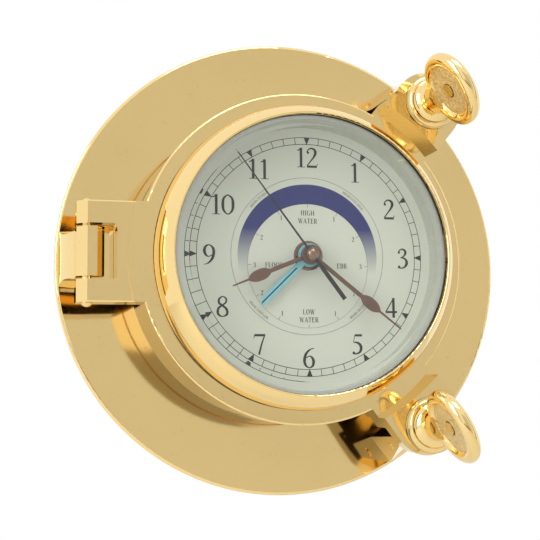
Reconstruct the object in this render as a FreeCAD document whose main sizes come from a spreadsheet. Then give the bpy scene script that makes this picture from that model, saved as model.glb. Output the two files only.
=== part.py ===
"""Porthole tide clock in polished brass, for hanging on a wall.

Frame: millimetres, +Z up. The origin is the centre of the flat rear face of the flange, which lies
on the wall. The dial faces -Y, so a depth in front of the wall is a length along -Y.
"""
import FreeCAD, Part
import math
import os
import Sketcher
from FreeCAD import Placement, Rotation, Vector

# Sizes: alias, value in mm or degrees, a count or a formula over other sizes, and what it is.
SIZES = [
    # Back flange, a dished casting that stands on the wall.
    ("flange_radius", "=barrel_radius + flange_margin", "outer radius of the flange"),
    ("flange_margin", 33.8, "width of the flange outside the barrel"),
    ("flange_bore_radius", "=barrel_radius - flange_land", "opening behind the movement"),
    ("flange_land", 14.2, "width of the flange inside the barrel"),
    ("flange_base_thickness", 3.5, "thickness under the barrel"),
    ("flange_rim_thickness", 7, "thickness at the rim"),
    ("flange_dish_radius", 210, "radius of the dished front face"),
    ("flange_rim_round", 1.4, "round on the front of the rim"),
    # Barrel, the fixed tube between flange and door.
    ("barrel_radius", "=door_radius - barrel_inset", "outer radius of the barrel"),
    ("barrel_inset", 0.3, "step from the door in to the barrel"),
    ("barrel_wall", 3.7, "wall of the barrel"),
    ("barrel_foot_width", 10, "width of the inner foot that takes the screws"),
    ("barrel_foot_thickness", 3, "thickness of that foot"),
    ("door_seam", 0.4, "gap between barrel and door"),
    # Door ring.
    ("door_back_depth", 27, "depth of the rear face of the door"),
    ("door_thickness", 16, "thickness of the door"),
    ("door_face_depth", "=door_back_depth + door_thickness", "depth of the flat front of the door"),
    ("door_radius", 74.5, "outer radius of the door ring"),
    ("door_edge_round", 0.9, "round on the front edge"),
    ("bezel_seat_radius", "=door_radius - bezel_seat_inset", "counterbore that takes the bezel"),
    ("bezel_seat_inset", 6.5, "width of the flat of the door outside the bezel"),
    ("bezel_seat_depth", "=door_face_depth - bezel_sink", "depth of the floor of that counterbore"),
    ("bezel_sink", 7, "how far the bezel is sunk in the door"),
    ("insert_bore_radius", "=bezel_seat_radius - bezel_land", "bore behind the bezel"),
    ("bezel_land", 5, "width of the floor under the bezel"),
    ("shelf_bore_radius", "=insert_bore_radius - shelf_width", "bore of the inner shelf"),
    ("shelf_width", 5.4, "width of the inner shelf"),
    ("shelf_back_depth", "=door_back_depth + cover_recess", "rear face of the inner shelf"),
    ("cover_recess", 2.2, "depth of the recess for the rear cover"),
    ("shelf_front_depth", "=shelf_back_depth + shelf_thickness", "front face of the inner shelf"),
    ("shelf_thickness", 2.8, "thickness of the inner shelf"),
    ("pad_radius", "=door_radius + pad_runout",
     "radius to which the flat runs out at the leaf and the lugs"),
    ("pad_runout", 4.3, "width of that run-out"),
    # Bezel, glass and what lies behind the glass.
    ("bezel_clearance", 0.15, "gap between bezel and door, all round"),
    ("bezel_shoulder_depth", "=door_face_depth + bezel_shoulder_rise",
     "where the bezel starts to round in"),
    ("bezel_shoulder_rise", 2, "height of the straight side of the bezel over the door"),
    ("bezel_front_depth", "=glass_back_depth + glass_seat_depth", "front of the bezel"),
    ("glass_seat_depth", 5, "distance from the rear of the glass to the front of the bezel"),
    ("bezel_lip_radius", "=bezel_bore_radius - bezel_lip_width", "inner radius of the front lip"),
    ("bezel_lip_width", 1.9, "how far the lip reaches over the glass"),
    ("bezel_round_radius", 22.45, "radius of the rounded front"),
    ("bezel_lip_land", 0.9, "flat width of the lip"),
    ("bezel_lip_thickness", 1.4, "thickness of the lip over the glass"),
    ("bezel_bore_radius", "=bezel_seat_radius - bezel_wall", "bore of the bezel"),
    ("bezel_wall", 5.2, "wall of the bezel and its gap"),
    ("stack_clearance", 0.3, "gap round and over the pieces stacked in the bezel"),
    ("glass_back_depth", "=second_hand_depth + 2 * hand_thickness + cap_height + glass_gap",
     "rear face of the glass"),
    ("glass_gap", 0.3, "gap between the centre cap and the glass"),
    ("glass_bevel_width", 5.3, "width of the bevel round the glass"),
    ("glass_bevel_drop", 1.7, "drop of the bevel"),
    ("gasket_thickness", 1, "thickness of the glass gasket"),
    ("gasket_width", 1.9, "width of the glass gasket"),
    ("rehaut_foot_radius", "=bezel_bore_radius - rehaut_foot_width",
     "inner radius of the inner ring at the dial"),
    ("rehaut_foot_width", 5.4, "width of the inner ring and its gap at the dial"),
    ("rehaut_top_radius", "=bezel_bore_radius - rehaut_top_width",
     "inner radius of the inner ring at the glass"),
    ("rehaut_top_width", 4, "width of the inner ring and its gap at the glass"),
    ("dial_front_depth", "=door_face_depth + dial_rise", "front face of the dial"),
    ("dial_rise", 3, "height of the dial over the flat of the door"),
    ("dial_thickness", 0.8, "thickness of the dial plate"),
    ("spacer_inner_radius", "=bezel_bore_radius - spacer_width", "inner radius of the spacer ring"),
    ("spacer_width", 4.3, "width of the spacer ring and its gap"),
    # Rear cover of the door and the screws.
    ("cover_thickness", 1.4, "thickness of the rear cover"),
    ("cover_window_clearance", 0.5, "gap round the movement in the cover"),
    ("cover_screw_count", 3, "screws in the rear cover"),
    ("cover_screw_radius", "=insert_bore_radius - cover_screw_inset", "radius of their circle"),
    ("cover_screw_inset", 2.7, "distance from the edge of the cover to those screws"),
    ("bezel_screw_count", 4, "screws that hold the bezel"),
    ("bezel_screw_radius", "=bezel_bore_radius + bezel_screw_inset", "radius of their circle"),
    ("bezel_screw_inset", 2.5, "distance from the bore of the bezel to those screws"),
    ("barrel_screw_count", 4, "screws that hold the barrel"),
    ("barrel_screw_radius", "=barrel_radius - barrel_screw_inset", "radius of their circle"),
    ("barrel_screw_inset", 7, "distance from the outside of the barrel to those screws"),
    ("fine_screw_radius", 1.0, "shank radius of the fine screws"),
    ("fine_screw_length", 2.6, "shank length of the fine screws"),
    ("fine_screw_head_radius", 1.9, "head radius of the fine screws"),
    ("fine_screw_head_height", 0.9, "head height of the fine screws"),
    ("bezel_screw_length", "=bezel_seat_depth - door_back_depth + bezel_screw_grip",
     "length of the bezel screws"),
    ("bezel_screw_grip", 4, "how far those screws reach into the bezel"),
    ("flange_screw_radius", 1.5, "shank radius of the flange screws"),
    ("flange_screw_length", "=flange_base_thickness + flange_screw_grip",
     "length of the flange screws"),
    ("flange_screw_grip", 2.1, "how far those screws reach past the flange"),
    ("flange_screw_head_radius", 2.8, "head radius of the flange screws"),
    ("flange_screw_head_height", 1.5, "height of their countersunk heads"),
    ("thread_clearance", 0.05, "radial gap in a screw hole"),
    # Hinge at the left.
    ("hinge_axis_x", "=door_radius + hinge_reach", "distance of the hinge axis from the centre"),
    ("hinge_reach", 21, "distance of the hinge axis from the door"),
    ("hinge_axis_depth", "=door_face_depth - hinge_axis_drop", "depth of the hinge axis"),
    ("hinge_axis_drop", 8.5, "distance of the hinge axis behind the flat of the door"),
    ("hinge_rise", 1.2, "height of the middle of the hinge above the centre"),
    ("leaf_half_height", "=notch_half_height + leaf_ear_height", "half the height of the door leaf"),
    ("leaf_ear_height", 9.9, "height of the leaf above and below its notch"),
    ("leaf_face_drop", 0.9, "step from the flat of the door down to the leaf"),
    ("leaf_end_x", "=hinge_axis_x + leaf_overhang", "left end of the leaf"),
    ("leaf_overhang", 4.8, "how far the leaf reaches past the hinge axis"),
    ("leaf_chamfer", 4.4, "chamfer on the front left edge"),
    ("leaf_edge_chamfer", 0.6, "small chamfer round the front of the leaf"),
    ("notch_x", "=hinge_axis_x - notch_reach", "inner edge of the notch for the bracket"),
    ("notch_reach", 12.2, "depth of the notch from the hinge axis"),
    ("notch_round", 1.8, "round in the inner corners of the notch"),
    ("notch_half_height", "=knuckle_half_height + notch_gap", "half the height of the notch"),
    ("notch_gap", 1.3, "gap above and below the bracket knuckle"),
    ("knuckle_half_height", 10.7, "half the height of the bracket knuckle"),
    ("knuckle_inner_x", "=hinge_axis_x - knuckle_reach", "inner face of the bracket knuckle"),
    ("knuckle_reach", 7, "distance from the hinge axis to that face"),
    ("knuckle_chamfer", 3.2, "chamfer on the inner front edge of the knuckle"),
    ("bracket_foot_x", "=flange_radius - bracket_foot_inset", "outer reach of the foot of the bracket"),
    ("bracket_foot_inset", 2, "distance from the edge of the flange to that foot"),
    ("bracket_foot_half_height", "=knuckle_half_height + bracket_foot_spread",
     "half the height of that foot"),
    ("bracket_foot_spread", 3.6, "how far the foot spreads past the knuckle"),
    ("bracket_web_x", "=barrel_radius + bracket_web_gap", "inner end of the web of the bracket"),
    ("bracket_web_gap", 0.6, "gap between that web and the barrel"),
    ("bracket_web_depth", "=door_back_depth - bracket_web_gap", "front of that web, behind the door"),
    ("bracket_flare_depth", "=door_back_depth - bracket_flare_drop",
     "depth at which the foot starts to flare"),
    ("bracket_flare_drop", 2, "distance of that place behind the door"),
    ("bracket_flare_radius", 30, "radius of the flare above and below"),
    ("bracket_side_flare_radius", 44, "radius of the flare at the side"),
    ("hinge_pin_radius", 2, "radius of the hinge pin"),
    ("hinge_pin_head_radius", 2.5, "radius of the domed ends of the pin"),
    ("hinge_pin_head_height", 1.5, "height of the domed ends of the pin"),
    ("hinge_pin_clearance", 0.06, "running gap round the hinge pin"),
    ("pin_head_gap", 0.3, "gap between the leaf and the heads of the pin"),
    ("bracket_screw_spacing", 18, "distance between the bracket screws"),
    ("bracket_screw_x", "=hinge_axis_x + bracket_screw_shift",
     "distance of the bracket screws from the centre"),
    ("bracket_screw_shift", 2.5, "distance of those screws outside the hinge axis"),
    # Lugs of the door and the forks under them.
    ("upper_lug_angle", 50.5, "angle of the upper lug above +X"),
    ("lower_lug_angle", -53.4, "angle of the lower lug"),
    ("lug_face_depth", "=door_face_depth + lug_rise", "front face of a lug"),
    ("lug_rise", 7.5, "height of the face of a lug over the flat of the door"),
    ("lug_thickness", 8.5, "thickness of a lug"),
    ("lug_half_width", 16, "half the width of a lug"),
    ("lug_end_reach", 12.8, "how far a lug reaches past its bolt"),
    ("lug_wall_radius", "=door_radius + lug_wall_reach", "radius at which a lug rises from the door"),
    ("lug_wall_reach", 4.5, "distance of that wall from the edge of the door"),
    ("lug_root_radius", "=door_radius + lug_root_reach", "outer radius of the thick root of a lug"),
    ("lug_root_reach", 8.5, "how far that root reaches from the edge of the door"),
    ("lug_slot_half_width", "=bolt_radius + lug_slot_gap", "half the width of the slot for the bolt"),
    ("lug_slot_gap", 0.8, "gap each side of a bolt in its slot"),
    ("lug_flat_reach", 3, "how far the flat of a lug reaches past the pin that its bolt swings on"),
    ("bolt_circle_radius", "=door_radius + bolt_reach", "distance of the bolts from the centre"),
    ("bolt_reach", 18.8, "distance of the bolts from the edge of the door"),
    ("fork_pin_depth", "=door_back_depth - fork_pin_drop", "depth of the pin that a bolt swings on"),
    ("fork_pin_drop", 2, "distance of that pin behind the door"),
    ("fork_pin_circle_radius", "=bolt_circle_radius + fork_pin_shift",
     "distance of that pin from the centre"),
    ("fork_pin_shift", 2.3, "distance of that pin outside the axis of its bolt"),
    ("fork_half_width", "=fork_slot_half_width + fork_cheek_width", "half the width of a fork"),
    ("fork_cheek_width", 9.1, "width of a cheek of a fork"),
    ("fork_slot_half_width", "=bolt_foot_half_width + bolt_foot_gap",
     "half the width of the slot of a fork"),
    ("bolt_foot_gap", 0.7, "gap each side of the foot of a bolt in its fork"),
    ("fork_inner_radius", "=fork_pin_circle_radius - fork_inner_reach",
     "inner edge of the foot of a fork"),
    ("fork_inner_reach", 4, "distance from the pin to that edge"),
    ("fork_top_radius", "=fork_inner_radius - fork_lean", "inner edge of the top of a fork"),
    ("fork_lean", 2.2, "how far a fork leans in over its foot"),
    ("fork_top_depth", "=lug_face_depth - fork_top_drop", "top of a fork"),
    ("fork_top_drop", 12.9, "distance of the top of a fork behind the face of the lug"),
    ("fork_top_width", 5.2, "width of the top of a fork"),
    ("fork_top_fall", 1.4, "fall of the top towards the inside"),
    ("fork_foot_radius", "=flange_radius - fork_foot_inset", "outer reach of the foot of a fork"),
    ("fork_foot_inset", 1.6, "distance from the edge of the flange to that foot"),
    ("fork_floor_depth", "=fork_pin_depth - fork_floor_drop", "floor of the slot of a fork"),
    ("fork_floor_drop", 11, "distance of the floor of that slot behind the pin"),
    ("fork_pin_radius", 2, "radius of a fork pin"),
    ("fork_pin_proud", 0.4, "how far a fork pin stands out of the fork"),
    ("fork_screw_radius", "=fork_pin_circle_radius + fork_screw_reach",
     "distance of the fork screws from the centre"),
    ("fork_screw_reach", 1.5, "distance of those screws outside the pin"),
    ("fork_screw_offset", "=fork_slot_half_width + fork_screw_inset",
     "distance of a fork screw from the middle"),
    ("fork_screw_inset", 4.4, "distance of a fork screw from the slot"),
    # Swing bolts and eye nuts.
    ("bolt_radius", 3.5, "radius of a swing bolt"),
    ("bolt_end_depth", "=lug_face_depth + bolt_proud", "depth of the end of a bolt"),
    ("bolt_proud", 9, "how far a bolt stands out of the lug"),
    ("bolt_foot_radius", "=fork_pin_radius + bolt_foot_wall", "radius of the hooked foot of a bolt"),
    ("bolt_foot_wall", 3.2, "wall of that foot and its gap round the pin"),
    ("bolt_foot_half_width", 4.7, "half the thickness of that foot"),
    ("bolt_hook_clearance", 0.3, "gap between the hook and the fork pin"),
    ("nut_seat_gap", 0.35, "gap between washer and lug"),
    ("washer_radius", 12.6, "radius of the foot washer"),
    ("washer_rim_height", 0.6, "height of the rim of the washer"),
    ("washer_height", 1.9, "height of the washer"),
    ("washer_top_radius", "=washer_radius - washer_flare", "radius of the top of the washer"),
    ("washer_flare", 2.2, "how far the washer spreads from its top to its rim"),
    ("washer_cove", 2.4, "radius of the hollow between the rim and the top of the washer"),
    ("washer_bore_clearance", 0.1, "running gap between bolt and washer"),
    ("nut_stack_gap", 0.3, "gap between washer and eye nut"),
    ("nut_foot_radius", "=washer_top_radius - nut_foot_inset", "radius of the foot of an eye nut"),
    ("nut_foot_inset", 0.6, "step from the top of the washer in to the nut"),
    ("nut_foot_rim", 0.8, "height of the rim of the foot"),
    ("nut_neck_radius", "=bolt_radius + nut_neck_wall", "radius of the neck of an eye nut"),
    ("nut_neck_wall", 3.1, "wall of the neck and its gap round the bolt"),
    ("nut_neck_depth", "=lug_face_depth + nut_neck_height", "depth of the narrowest part of the neck"),
    ("nut_neck_height", 7.9, "height of the neck over the lug"),
    ("nut_cove_radius", 6.5, "radius of the cove between foot and neck"),
    ("nut_shoulder_radius", "=nut_neck_radius - nut_shoulder_taper",
     "radius of the top of the neck, inside the eye"),
    ("nut_shoulder_taper", 0.6, "taper from the neck to its top"),
    ("nut_shoulder_depth", "=lug_face_depth + nut_shoulder_height", "depth of the top of the neck"),
    ("nut_shoulder_height", 11.5, "height of the top of the neck over the lug"),
    ("eye_depth", "=lug_face_depth + eye_height", "depth of the middle of the eye"),
    ("eye_height", 22.5, "height of the middle of the eye over the lug"),
    ("eye_ring_radius", 14.1, "radius of the middle line of the eye"),
    ("eye_tube_radius", 3, "radius of the section of the eye"),
    ("eye_web_thickness", 2.6, "thickness of the web in the eye"),
    ("upper_eye_angle", 31, "angle of the normal of the upper eye above +X"),
    ("lower_eye_angle", 27, "angle of the normal of the lower eye above +X"),
    ("nut_pin_depth", "=eye_depth - nut_pin_drop", "depth of the cross pin"),
    ("nut_pin_drop", 0.5, "distance of the cross pin behind the middle of the eye"),
    ("nut_pin_radius", "=nut_pin_hole_radius - nut_pin_gap", "radius of the cross pin in an eye"),
    ("nut_pin_gap", 0.4, "gap round the cross pin"),
    ("nut_pin_hole_radius", 3.4, "radius of its hole"),
    ("nut_pin_length", 4.2, "length of the cross pin"),
    ("nut_bore_clearance", 0.1, "running gap between bolt and nut"),
    # Hands, read from 12 o'clock, clockwise.
    ("second_angle", 323.2, "angle of the second hand"),
    ("minute_angle", 128.5, "angle of the minute hand"),
    ("hour_angle", 248, "angle of the hour hand"),
    ("tide_angle", 225.8, "angle of the tide hand"),
    ("hand_thickness", 0.35, "thickness of every hand"),
    ("hand_pitch", 1.4, "distance from hand to hand"),
    ("tide_hand_depth", "=dial_front_depth + tide_hand_rise", "rear face of the tide hand"),
    ("tide_hand_rise", 2.2, "height of the tide hand over the dial"),
    ("hour_hand_depth", "=tide_hand_depth + hand_pitch", "rear face of the hour hand"),
    ("minute_hand_depth", "=hour_hand_depth + hand_pitch", "rear face of the minute hand"),
    ("second_hand_depth", "=minute_hand_depth + hand_pitch", "rear face of the second hand"),
    ("second_reach", "=rehaut_foot_radius - second_tip_gap", "length of the second hand"),
    ("second_tip_gap", 2.4, "gap between the second hand and the inner ring"),
    ("second_tail", 24.4, "length of its tail"),
    ("second_half_width", 0.45, "half the width of the second hand"),
    ("second_tail_half_width", 0.95, "half the width of its tail"),
    ("second_tail_start", 8, "where the broad tail starts"),
    ("second_boss_radius", 2.2, "radius of its boss"),
    ("minute_reach", "=rehaut_foot_radius - minute_tip_gap", "length of the minute hand"),
    ("minute_tip_gap", 5.2, "gap between the minute hand and the inner ring"),
    ("minute_pear", "=minute_reach - minute_point", "place of the pear on the minute hand"),
    ("minute_point", 17.6, "length from the pear to the tip of the minute hand"),
    ("hour_reach", "=minute_reach - hour_shortfall", "length of the hour hand"),
    ("hour_shortfall", 14.6, "how much shorter the hour hand is"),
    ("hour_pear", "=hour_reach - hour_point", "place of the pear on the hour hand"),
    ("hour_point", 12.7, "length from the pear to the tip of the hour hand"),
    ("pear_half_width", 2.5, "half the width of a pear"),
    ("pear_half_length", 5.2, "half the length of a pear"),
    ("stem_half_width", 0.95, "half the width of the stem of a hand"),
    ("tip_half_width", 0.3, "half the width of the tip of a hand"),
    ("tide_reach", "=minute_reach - tide_shortfall", "length of the tide hand"),
    ("tide_shortfall", 20.6, "how much shorter the tide hand is"),
    ("tide_half_width", 1.45, "half the width of the tide hand"),
    ("tide_slant", 2.4, "slant of the end of the tide hand"),
    ("hand_boss_radius", 4.3, "radius of the boss of the hour and minute hands"),
    ("tide_boss_radius", 5.2, "radius of the boss of the tide hand"),
    ("cap_radius", 2.9, "radius of the centre cap"),
    ("cap_height", 2.6, "height of the centre cap"),
    # Centre: bush, nut, washers and the concentric arbors.
    ("second_arbor_radius", 0.5, "radius of the arbor of the seconds"),
    ("pipe_gap", 0.1, "running gap between arbors and pipes"),
    ("minute_pipe_radius", 1.1, "outer radius of the minute pipe"),
    ("hour_pipe_radius", 1.7, "outer radius of the hour pipe"),
    ("tide_pipe_radius", 2.3, "outer radius of the tide pipe"),
    ("bush_radius", 4, "outer radius of the threaded bush"),
    ("bush_front_depth", "=tide_hand_depth - bush_hand_gap", "front end of the bush"),
    ("bush_hand_gap", 0.3, "gap between the bush and the tide hand"),
    ("bush_nut_radius", 5.9, "radius over the corners of the bush nut"),
    ("bush_nut_thickness", 1.2, "thickness of the bush nut"),
    ("bush_washer_radius", 6.6, "radius of the washer under the bush nut"),
    ("bush_washer_thickness", 0.4, "thickness of that washer"),
    ("rubber_washer_radius", 9, "radius of the rubber washer behind the dial"),
    ("rubber_washer_thickness", 1.2, "thickness of the rubber washer"),
    # Movement case, sized by the cell that lies in it.
    ("case_half_width", "=cell_length / 2 + case_margin", "half the width of the square movement"),
    ("case_margin", 4, "distance from the end of the cell to the outside of the case"),
    ("case_front_depth", "=dial_front_depth - dial_thickness - rubber_washer_thickness",
     "front of the movement"),
    ("case_thickness", "=cell_height + cell_radius + cell_clearance + case_wall",
     "thickness of the movement"),
    ("case_back_depth", "=case_front_depth - case_thickness", "rear face of the movement"),
    ("case_split_depth", "=case_back_depth + case_back_height",
     "joint between the two halves of its case"),
    ("case_back_height", 5.8, "height of the rear half of the case"),
    ("case_wall", 1.2, "wall of the case"),
    ("cell_radius", 7.1, "radius of the cell"),
    ("cell_length", 48, "length of the cell without its nub"),
    ("cell_nub_radius", 2.6, "radius of the nub of the cell"),
    ("cell_nub_length", 1.2, "length of the nub"),
    ("cell_depth", "=case_back_depth + cell_height", "depth of the axis of the cell"),
    ("cell_height", 7.1, "height of the axis of the cell over the rear face"),
    ("cell_drop", "=case_half_width - cell_inset", "distance of the cell below the centre"),
    ("cell_inset", 9.8, "distance from the side of the case to the axis of the cell"),
    ("cell_clearance", 0.4, "gap round the cell"),
    ("contact_thickness", 0.5, "thickness of a contact"),
    ("contact_half_width", 4, "half the width of a contact"),
    # Wheel train: every wheel sits on a layer between the two halves of the case.
    ("layer_first_depth", "=case_back_depth + layer_first_height", "depth of the first wheel"),
    ("layer_first_height", 2.8, "height of the first wheel over the rear face"),
    ("layer_last_height", 2.5, "distance from the last wheel to the front of the case"),
    ("layer_step", "=(case_thickness - layer_first_height - layer_last_height) / 7",
     "distance from wheel to wheel"),
    ("wheel_thickness", 0.5, "thickness of a wheel"),
    ("pinion_length", 1.0, "length of a pinion"),
    ("wheel_radius", 5.3, "tip radius of a wheel"),
    ("wheel_tooth", 0.45, "height of a tooth"),
    ("pinion_radius", 0.95, "radius of the pinions off the centre"),
    ("pipe_pinion_radius", 1.45, "radius of the pinion on the arbor of the seconds"),
    ("wheel_gap", 0.25, "gap between the teeth of a pair"),
    ("arbor_radius", 0.4, "radius of the arbors off the centre"),
    ("step_wheel_angle", 45, "angle of the step wheel round the centre"),
    ("third_wheel_angle", 200, "angle of the third wheel round the centre"),
    ("motion_wheel_angle", 120, "angle of the motion wheel round the centre"),
    ("tide_transfer_angle", -20, "angle of the tide transfer wheel round the centre"),
    ("rotor_radius", 2.6, "radius of the rotor magnet"),
    ("rotor_length", 2.2, "length of the rotor magnet"),
    ("rotor_distance", 6.5, "distance from the step wheel to the rotor"),
    ("knob_radius", 4.4, "radius of the setting knobs"),
    ("knob_length", 3, "length of the setting knobs"),
    ("knob_gap", 0.5, "gap between the case and the knobs"),
    ("knob_ridge", 0.35, "depth of the grip ridges on a knob"),
    # Coil, stator and board.
    ("coil_radius", 3.4, "radius of the winding"),
    ("coil_length", 22, "length of the winding"),
    ("coil_core_radius", 1.2, "radius of the core of the coil"),
    ("coil_cheek_radius", 4, "radius of the cheeks of the bobbin"),
    ("coil_cheek_thickness", 0.8, "thickness of the cheeks"),
    ("coil_height", "=case_half_width - coil_inset", "height of the coil above the centre"),
    ("coil_inset", 6.8, "distance from the top of the case to the axis of the coil"),
    ("coil_depth", "=case_back_depth + coil_rise", "depth of the axis of the coil"),
    ("coil_rise", 9.8, "height of the axis of the coil over the rear face"),
    ("coil_shift", 4, "distance of the middle of the coil left of the centre"),
    ("stator_thickness", 0.8, "thickness of the stator"),
    ("stator_half_width", 3.7, "half the width of the stator"),
    ("stator_hole_gap", 0.4, "gap between rotor and stator"),
    ("board_half_height", 8, "half the height of the circuit board"),
    ("board_width", 9, "width of the circuit board"),
    ("board_thickness", 1, "thickness of the circuit board"),
    ("board_depth", "=case_back_depth + board_rise", "rear face of the circuit board"),
    ("board_rise", 7.8, "height of the circuit board over the rear face"),
    ("board_inset", 0.3, "gap between the board and the case wall"),
    # Hanger at the back.
    ("hanger_half_width", 15, "half the width of the hanger plate"),
    ("hanger_height", 20, "height of the hanger plate"),
    ("hanger_top", "=flange_bore_radius + hanger_bite",
     "height of the top of the hanger above the centre"),
    ("hanger_bite", 9, "how far the hanger reaches over the flange"),
    ("hanger_thickness", 1.5, "thickness of the hanger plate"),
    ("hanger_inset", 0.2, "how far the hanger lies in from the rear face"),
    ("hanger_clearance", 0.2, "gap round the hanger in its recess"),
    ("keyhole_radius", 4, "entry hole for the head of the wall screw"),
    ("keyhole_slot_radius", 2, "half the width of the slot above it"),
    ("keyhole_rise", 6, "length of the slot"),
    ("keyhole_height", "=hanger_top - keyhole_drop", "height of the entry hole above the centre"),
    ("keyhole_drop", 15.5, "distance of the entry hole below the top of the hanger"),
    ("hanger_screw_spacing", 22, "distance between the hanger screws"),
    ("hanger_screw_drop", 4, "distance of the hanger screws below the top of the plate"),
    # General.
    ("overrun", 1, "how far a cutting tool runs past the material"),
    ("hidden_fit", 0.1, "gap between pieces that slip together out of sight"),
]

doc = FreeCAD.newDocument("tide_clock")
sheet = doc.addObject("Spreadsheet::Sheet", "Size")
for line, (alias, number, meaning) in enumerate(SIZES, start=1):
    sheet.set("A%d" % line, alias)
    sheet.set("C%d" % line, meaning)
    sheet.setAlias("B%d" % line, alias)
for line, (alias, number, meaning) in enumerate(SIZES, start=1):
    sheet.set("B%d" % line, str(number))
doc.recompute()

SUB_PARTS = []
PLANE_ROLES = {"XY": "XY_Plane", "XZ": "XZ_Plane", "YZ": "YZ_Plane"}
UP_AXIS = Rotation(Vector(1, 0, 0), 90)


def amount(expression):
    """The value of an expression over the sheet."""
    return float(sheet.evalExpression(expression))


def label(item, name):
    """Make an object a sub-part: its label is the name of its file."""
    item.Label = name
    SUB_PARTS.append(item)
    return item


def put(item, x="0", depth="0", z="0", turn=None, about=Vector(0, -1, 0), rotation=Rotation()):
    """Place an object by expressions: x, depth in front of the wall, z, and one angle."""
    item.Placement = Placement(Vector(), rotation if turn is None else Rotation(about, amount(turn)))
    for axis, text in (("x", x), ("y", "-(%s)" % depth), ("z", z)):
        if text not in ("0", "-(0)"):
            item.setExpression("Placement.Base." + axis, text)
    if turn is not None:
        item.setExpression("Placement.Rotation.Angle", turn)
    return item


def arc_between(start, finish, radius, side):
    """Minor arc from start to finish that bulges to the left (1) or right (-1) of the way."""
    chord = finish - start
    half = chord.Length / 2
    middle = (start + finish) / 2
    left = Vector(-chord.y, chord.x, 0).normalize()
    centre = middle - left * side * math.sqrt(max(radius * radius - half * half, 0))
    first, last = (finish, start) if side > 0 else (start, finish)
    angles = [math.atan2(spot.y - centre.y, spot.x - centre.x) for spot in (first, last)]
    return Part.ArcOfCircle(Part.Circle(centre, Vector(0, 0, 1), radius), *angles)


def draw(sketch, corners):
    """Closed outline through the corners, each (x, y) or, at the end of an arc, (x, y, radius, side)."""
    spots = [Vector(amount(corner[0]), amount(corner[1]), 0) for corner in corners]
    ends = []
    for index, corner in enumerate(corners):
        start, finish = spots[index - 1], spots[index]
        if len(corner) == 2:
            edge = sketch.addGeometry(Part.LineSegment(start, finish))
            ends.append((edge, 1, 2))
        else:
            edge = sketch.addGeometry(arc_between(start, finish, amount(corner[2]), corner[3]))
            ends.append((edge, 2, 1) if corner[3] > 0 else (edge, 1, 2))
    for index, corner in enumerate(corners):
        edge, _, tail = ends[index]
        following, head, _ = ends[(index + 1) % len(corners)]
        sketch.addConstraint(Sketcher.Constraint("Coincident", edge, tail, following, head))
        for kind, axis, text, value in (("DistanceX", -2, corner[0], spots[index].x),
                                        ("DistanceY", -1, corner[1], spots[index].y)):
            if text == "0":
                sketch.addConstraint(Sketcher.Constraint("PointOnObject", edge, tail, axis))
            else:
                number = sketch.addConstraint(Sketcher.Constraint(kind, -1, 1, edge, tail, value))
                sketch.setExpression("Constraints[%d]" % number, text)
        if len(corner) > 2:
            number = sketch.addConstraint(Sketcher.Constraint("Radius", edge, amount(corner[2])))
            sketch.setExpression("Constraints[%d]" % number, corner[2])
    return sketch


def sketch_in(body, plane, name="Outline"):
    """An empty sketch on one of the body's own origin planes."""
    sketch = body.newObject("Sketcher::SketchObject", name)
    base = [item for item in body.Origin.OriginFeatures if item.Role == PLANE_ROLES[plane]][0]
    sketch.AttachmentSupport = [(base, "")]
    sketch.MapMode = "FlatFace"
    return sketch


def turned(name, outline):
    """A piece turned about the Y axis from an outline of (radius, depth, ...) corners."""
    body = doc.addObject("PartDesign::Body", name)
    sketch = sketch_in(body, "XY")
    # Depth runs along -Y, which mirrors the outline, so an arc bulges to its other side.
    corners = [(corner[0], "-(%s)" % corner[1] if corner[1] != "0" else "0") + tuple(corner[2:3])
               + tuple(-side for side in corner[3:]) for corner in outline]
    draw(sketch, corners)
    feature = body.newObject("PartDesign::Revolution", "Turn")
    feature.Profile = sketch
    feature.ReferenceAxis = (sketch, ["V_Axis"])
    feature.Angle = 360
    body.Tip = feature
    return body


def pad(name, plane, corners, height):
    """A prism from a closed outline on one plane of its body.

    On XZ the sketch is seen from the front and the pad grows towards the viewer; on XY it grows up.
    """
    body = doc.addObject("PartDesign::Body", name)
    draw(sketch_in(body, plane), corners)
    feature = body.newObject("PartDesign::Pad", "Height")
    feature.Profile = body.Group[0]
    feature.setExpression("Length", height)
    body.Tip = feature
    return body


def block(name, low, high):
    """A box between two corners, each (x, depth, z); low has the smaller x and z and the larger depth."""
    item = doc.addObject("Part::Box", name)
    for size, first, last in (("Length", high[0], low[0]),
                              ("Width", low[1], high[1]),
                              ("Height", high[2], low[2])):
        item.setExpression(size, "(%s) - (%s)" % (first, last))
    return put(item, low[0], low[1], low[2])


def cylinder(name, radius, length, x="0", depth="0", z="0", along="Y"):
    """A cylinder that starts at a point and runs along +X, -Y (towards the viewer) or +Z."""
    item = doc.addObject("Part::Cylinder", name)
    item.setExpression("Radius", radius)
    item.setExpression("Height", length)
    ways = {"X": Rotation(Vector(0, 1, 0), 90), "Y": UP_AXIS, "Z": Rotation()}
    return put(item, x, depth, z, rotation=ways[along])


def cut(name, base, tool):
    item = doc.addObject("Part::Cut", name)
    item.Base = base
    item.Tool = tool
    return item


def fuse(name, shapes):
    item = doc.addObject("Part::MultiFuse", name)
    item.Shapes = shapes
    return item


def common(name, first, second):
    item = doc.addObject("Part::Common", name)
    item.Base = first
    item.Tool = second
    return item


def group(name, shapes):
    """Identical fasteners share one node as separate solids."""
    item = doc.addObject("Part::Compound", name)
    item.Links = shapes
    return item


def polar(radius, angle):
    """x and z of a place on a circle round the axis, as expressions."""
    return "(%s) * cos(%s)" % (radius, angle), "(%s) * sin(%s)" % (radius, angle)


FIT = "Size.thread_clearance"
OVER = "Size.overrun"


# Back flange and barrel

BARREL_FOOT_RADIUS = "(Size.barrel_radius - Size.barrel_foot_width)"


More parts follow.
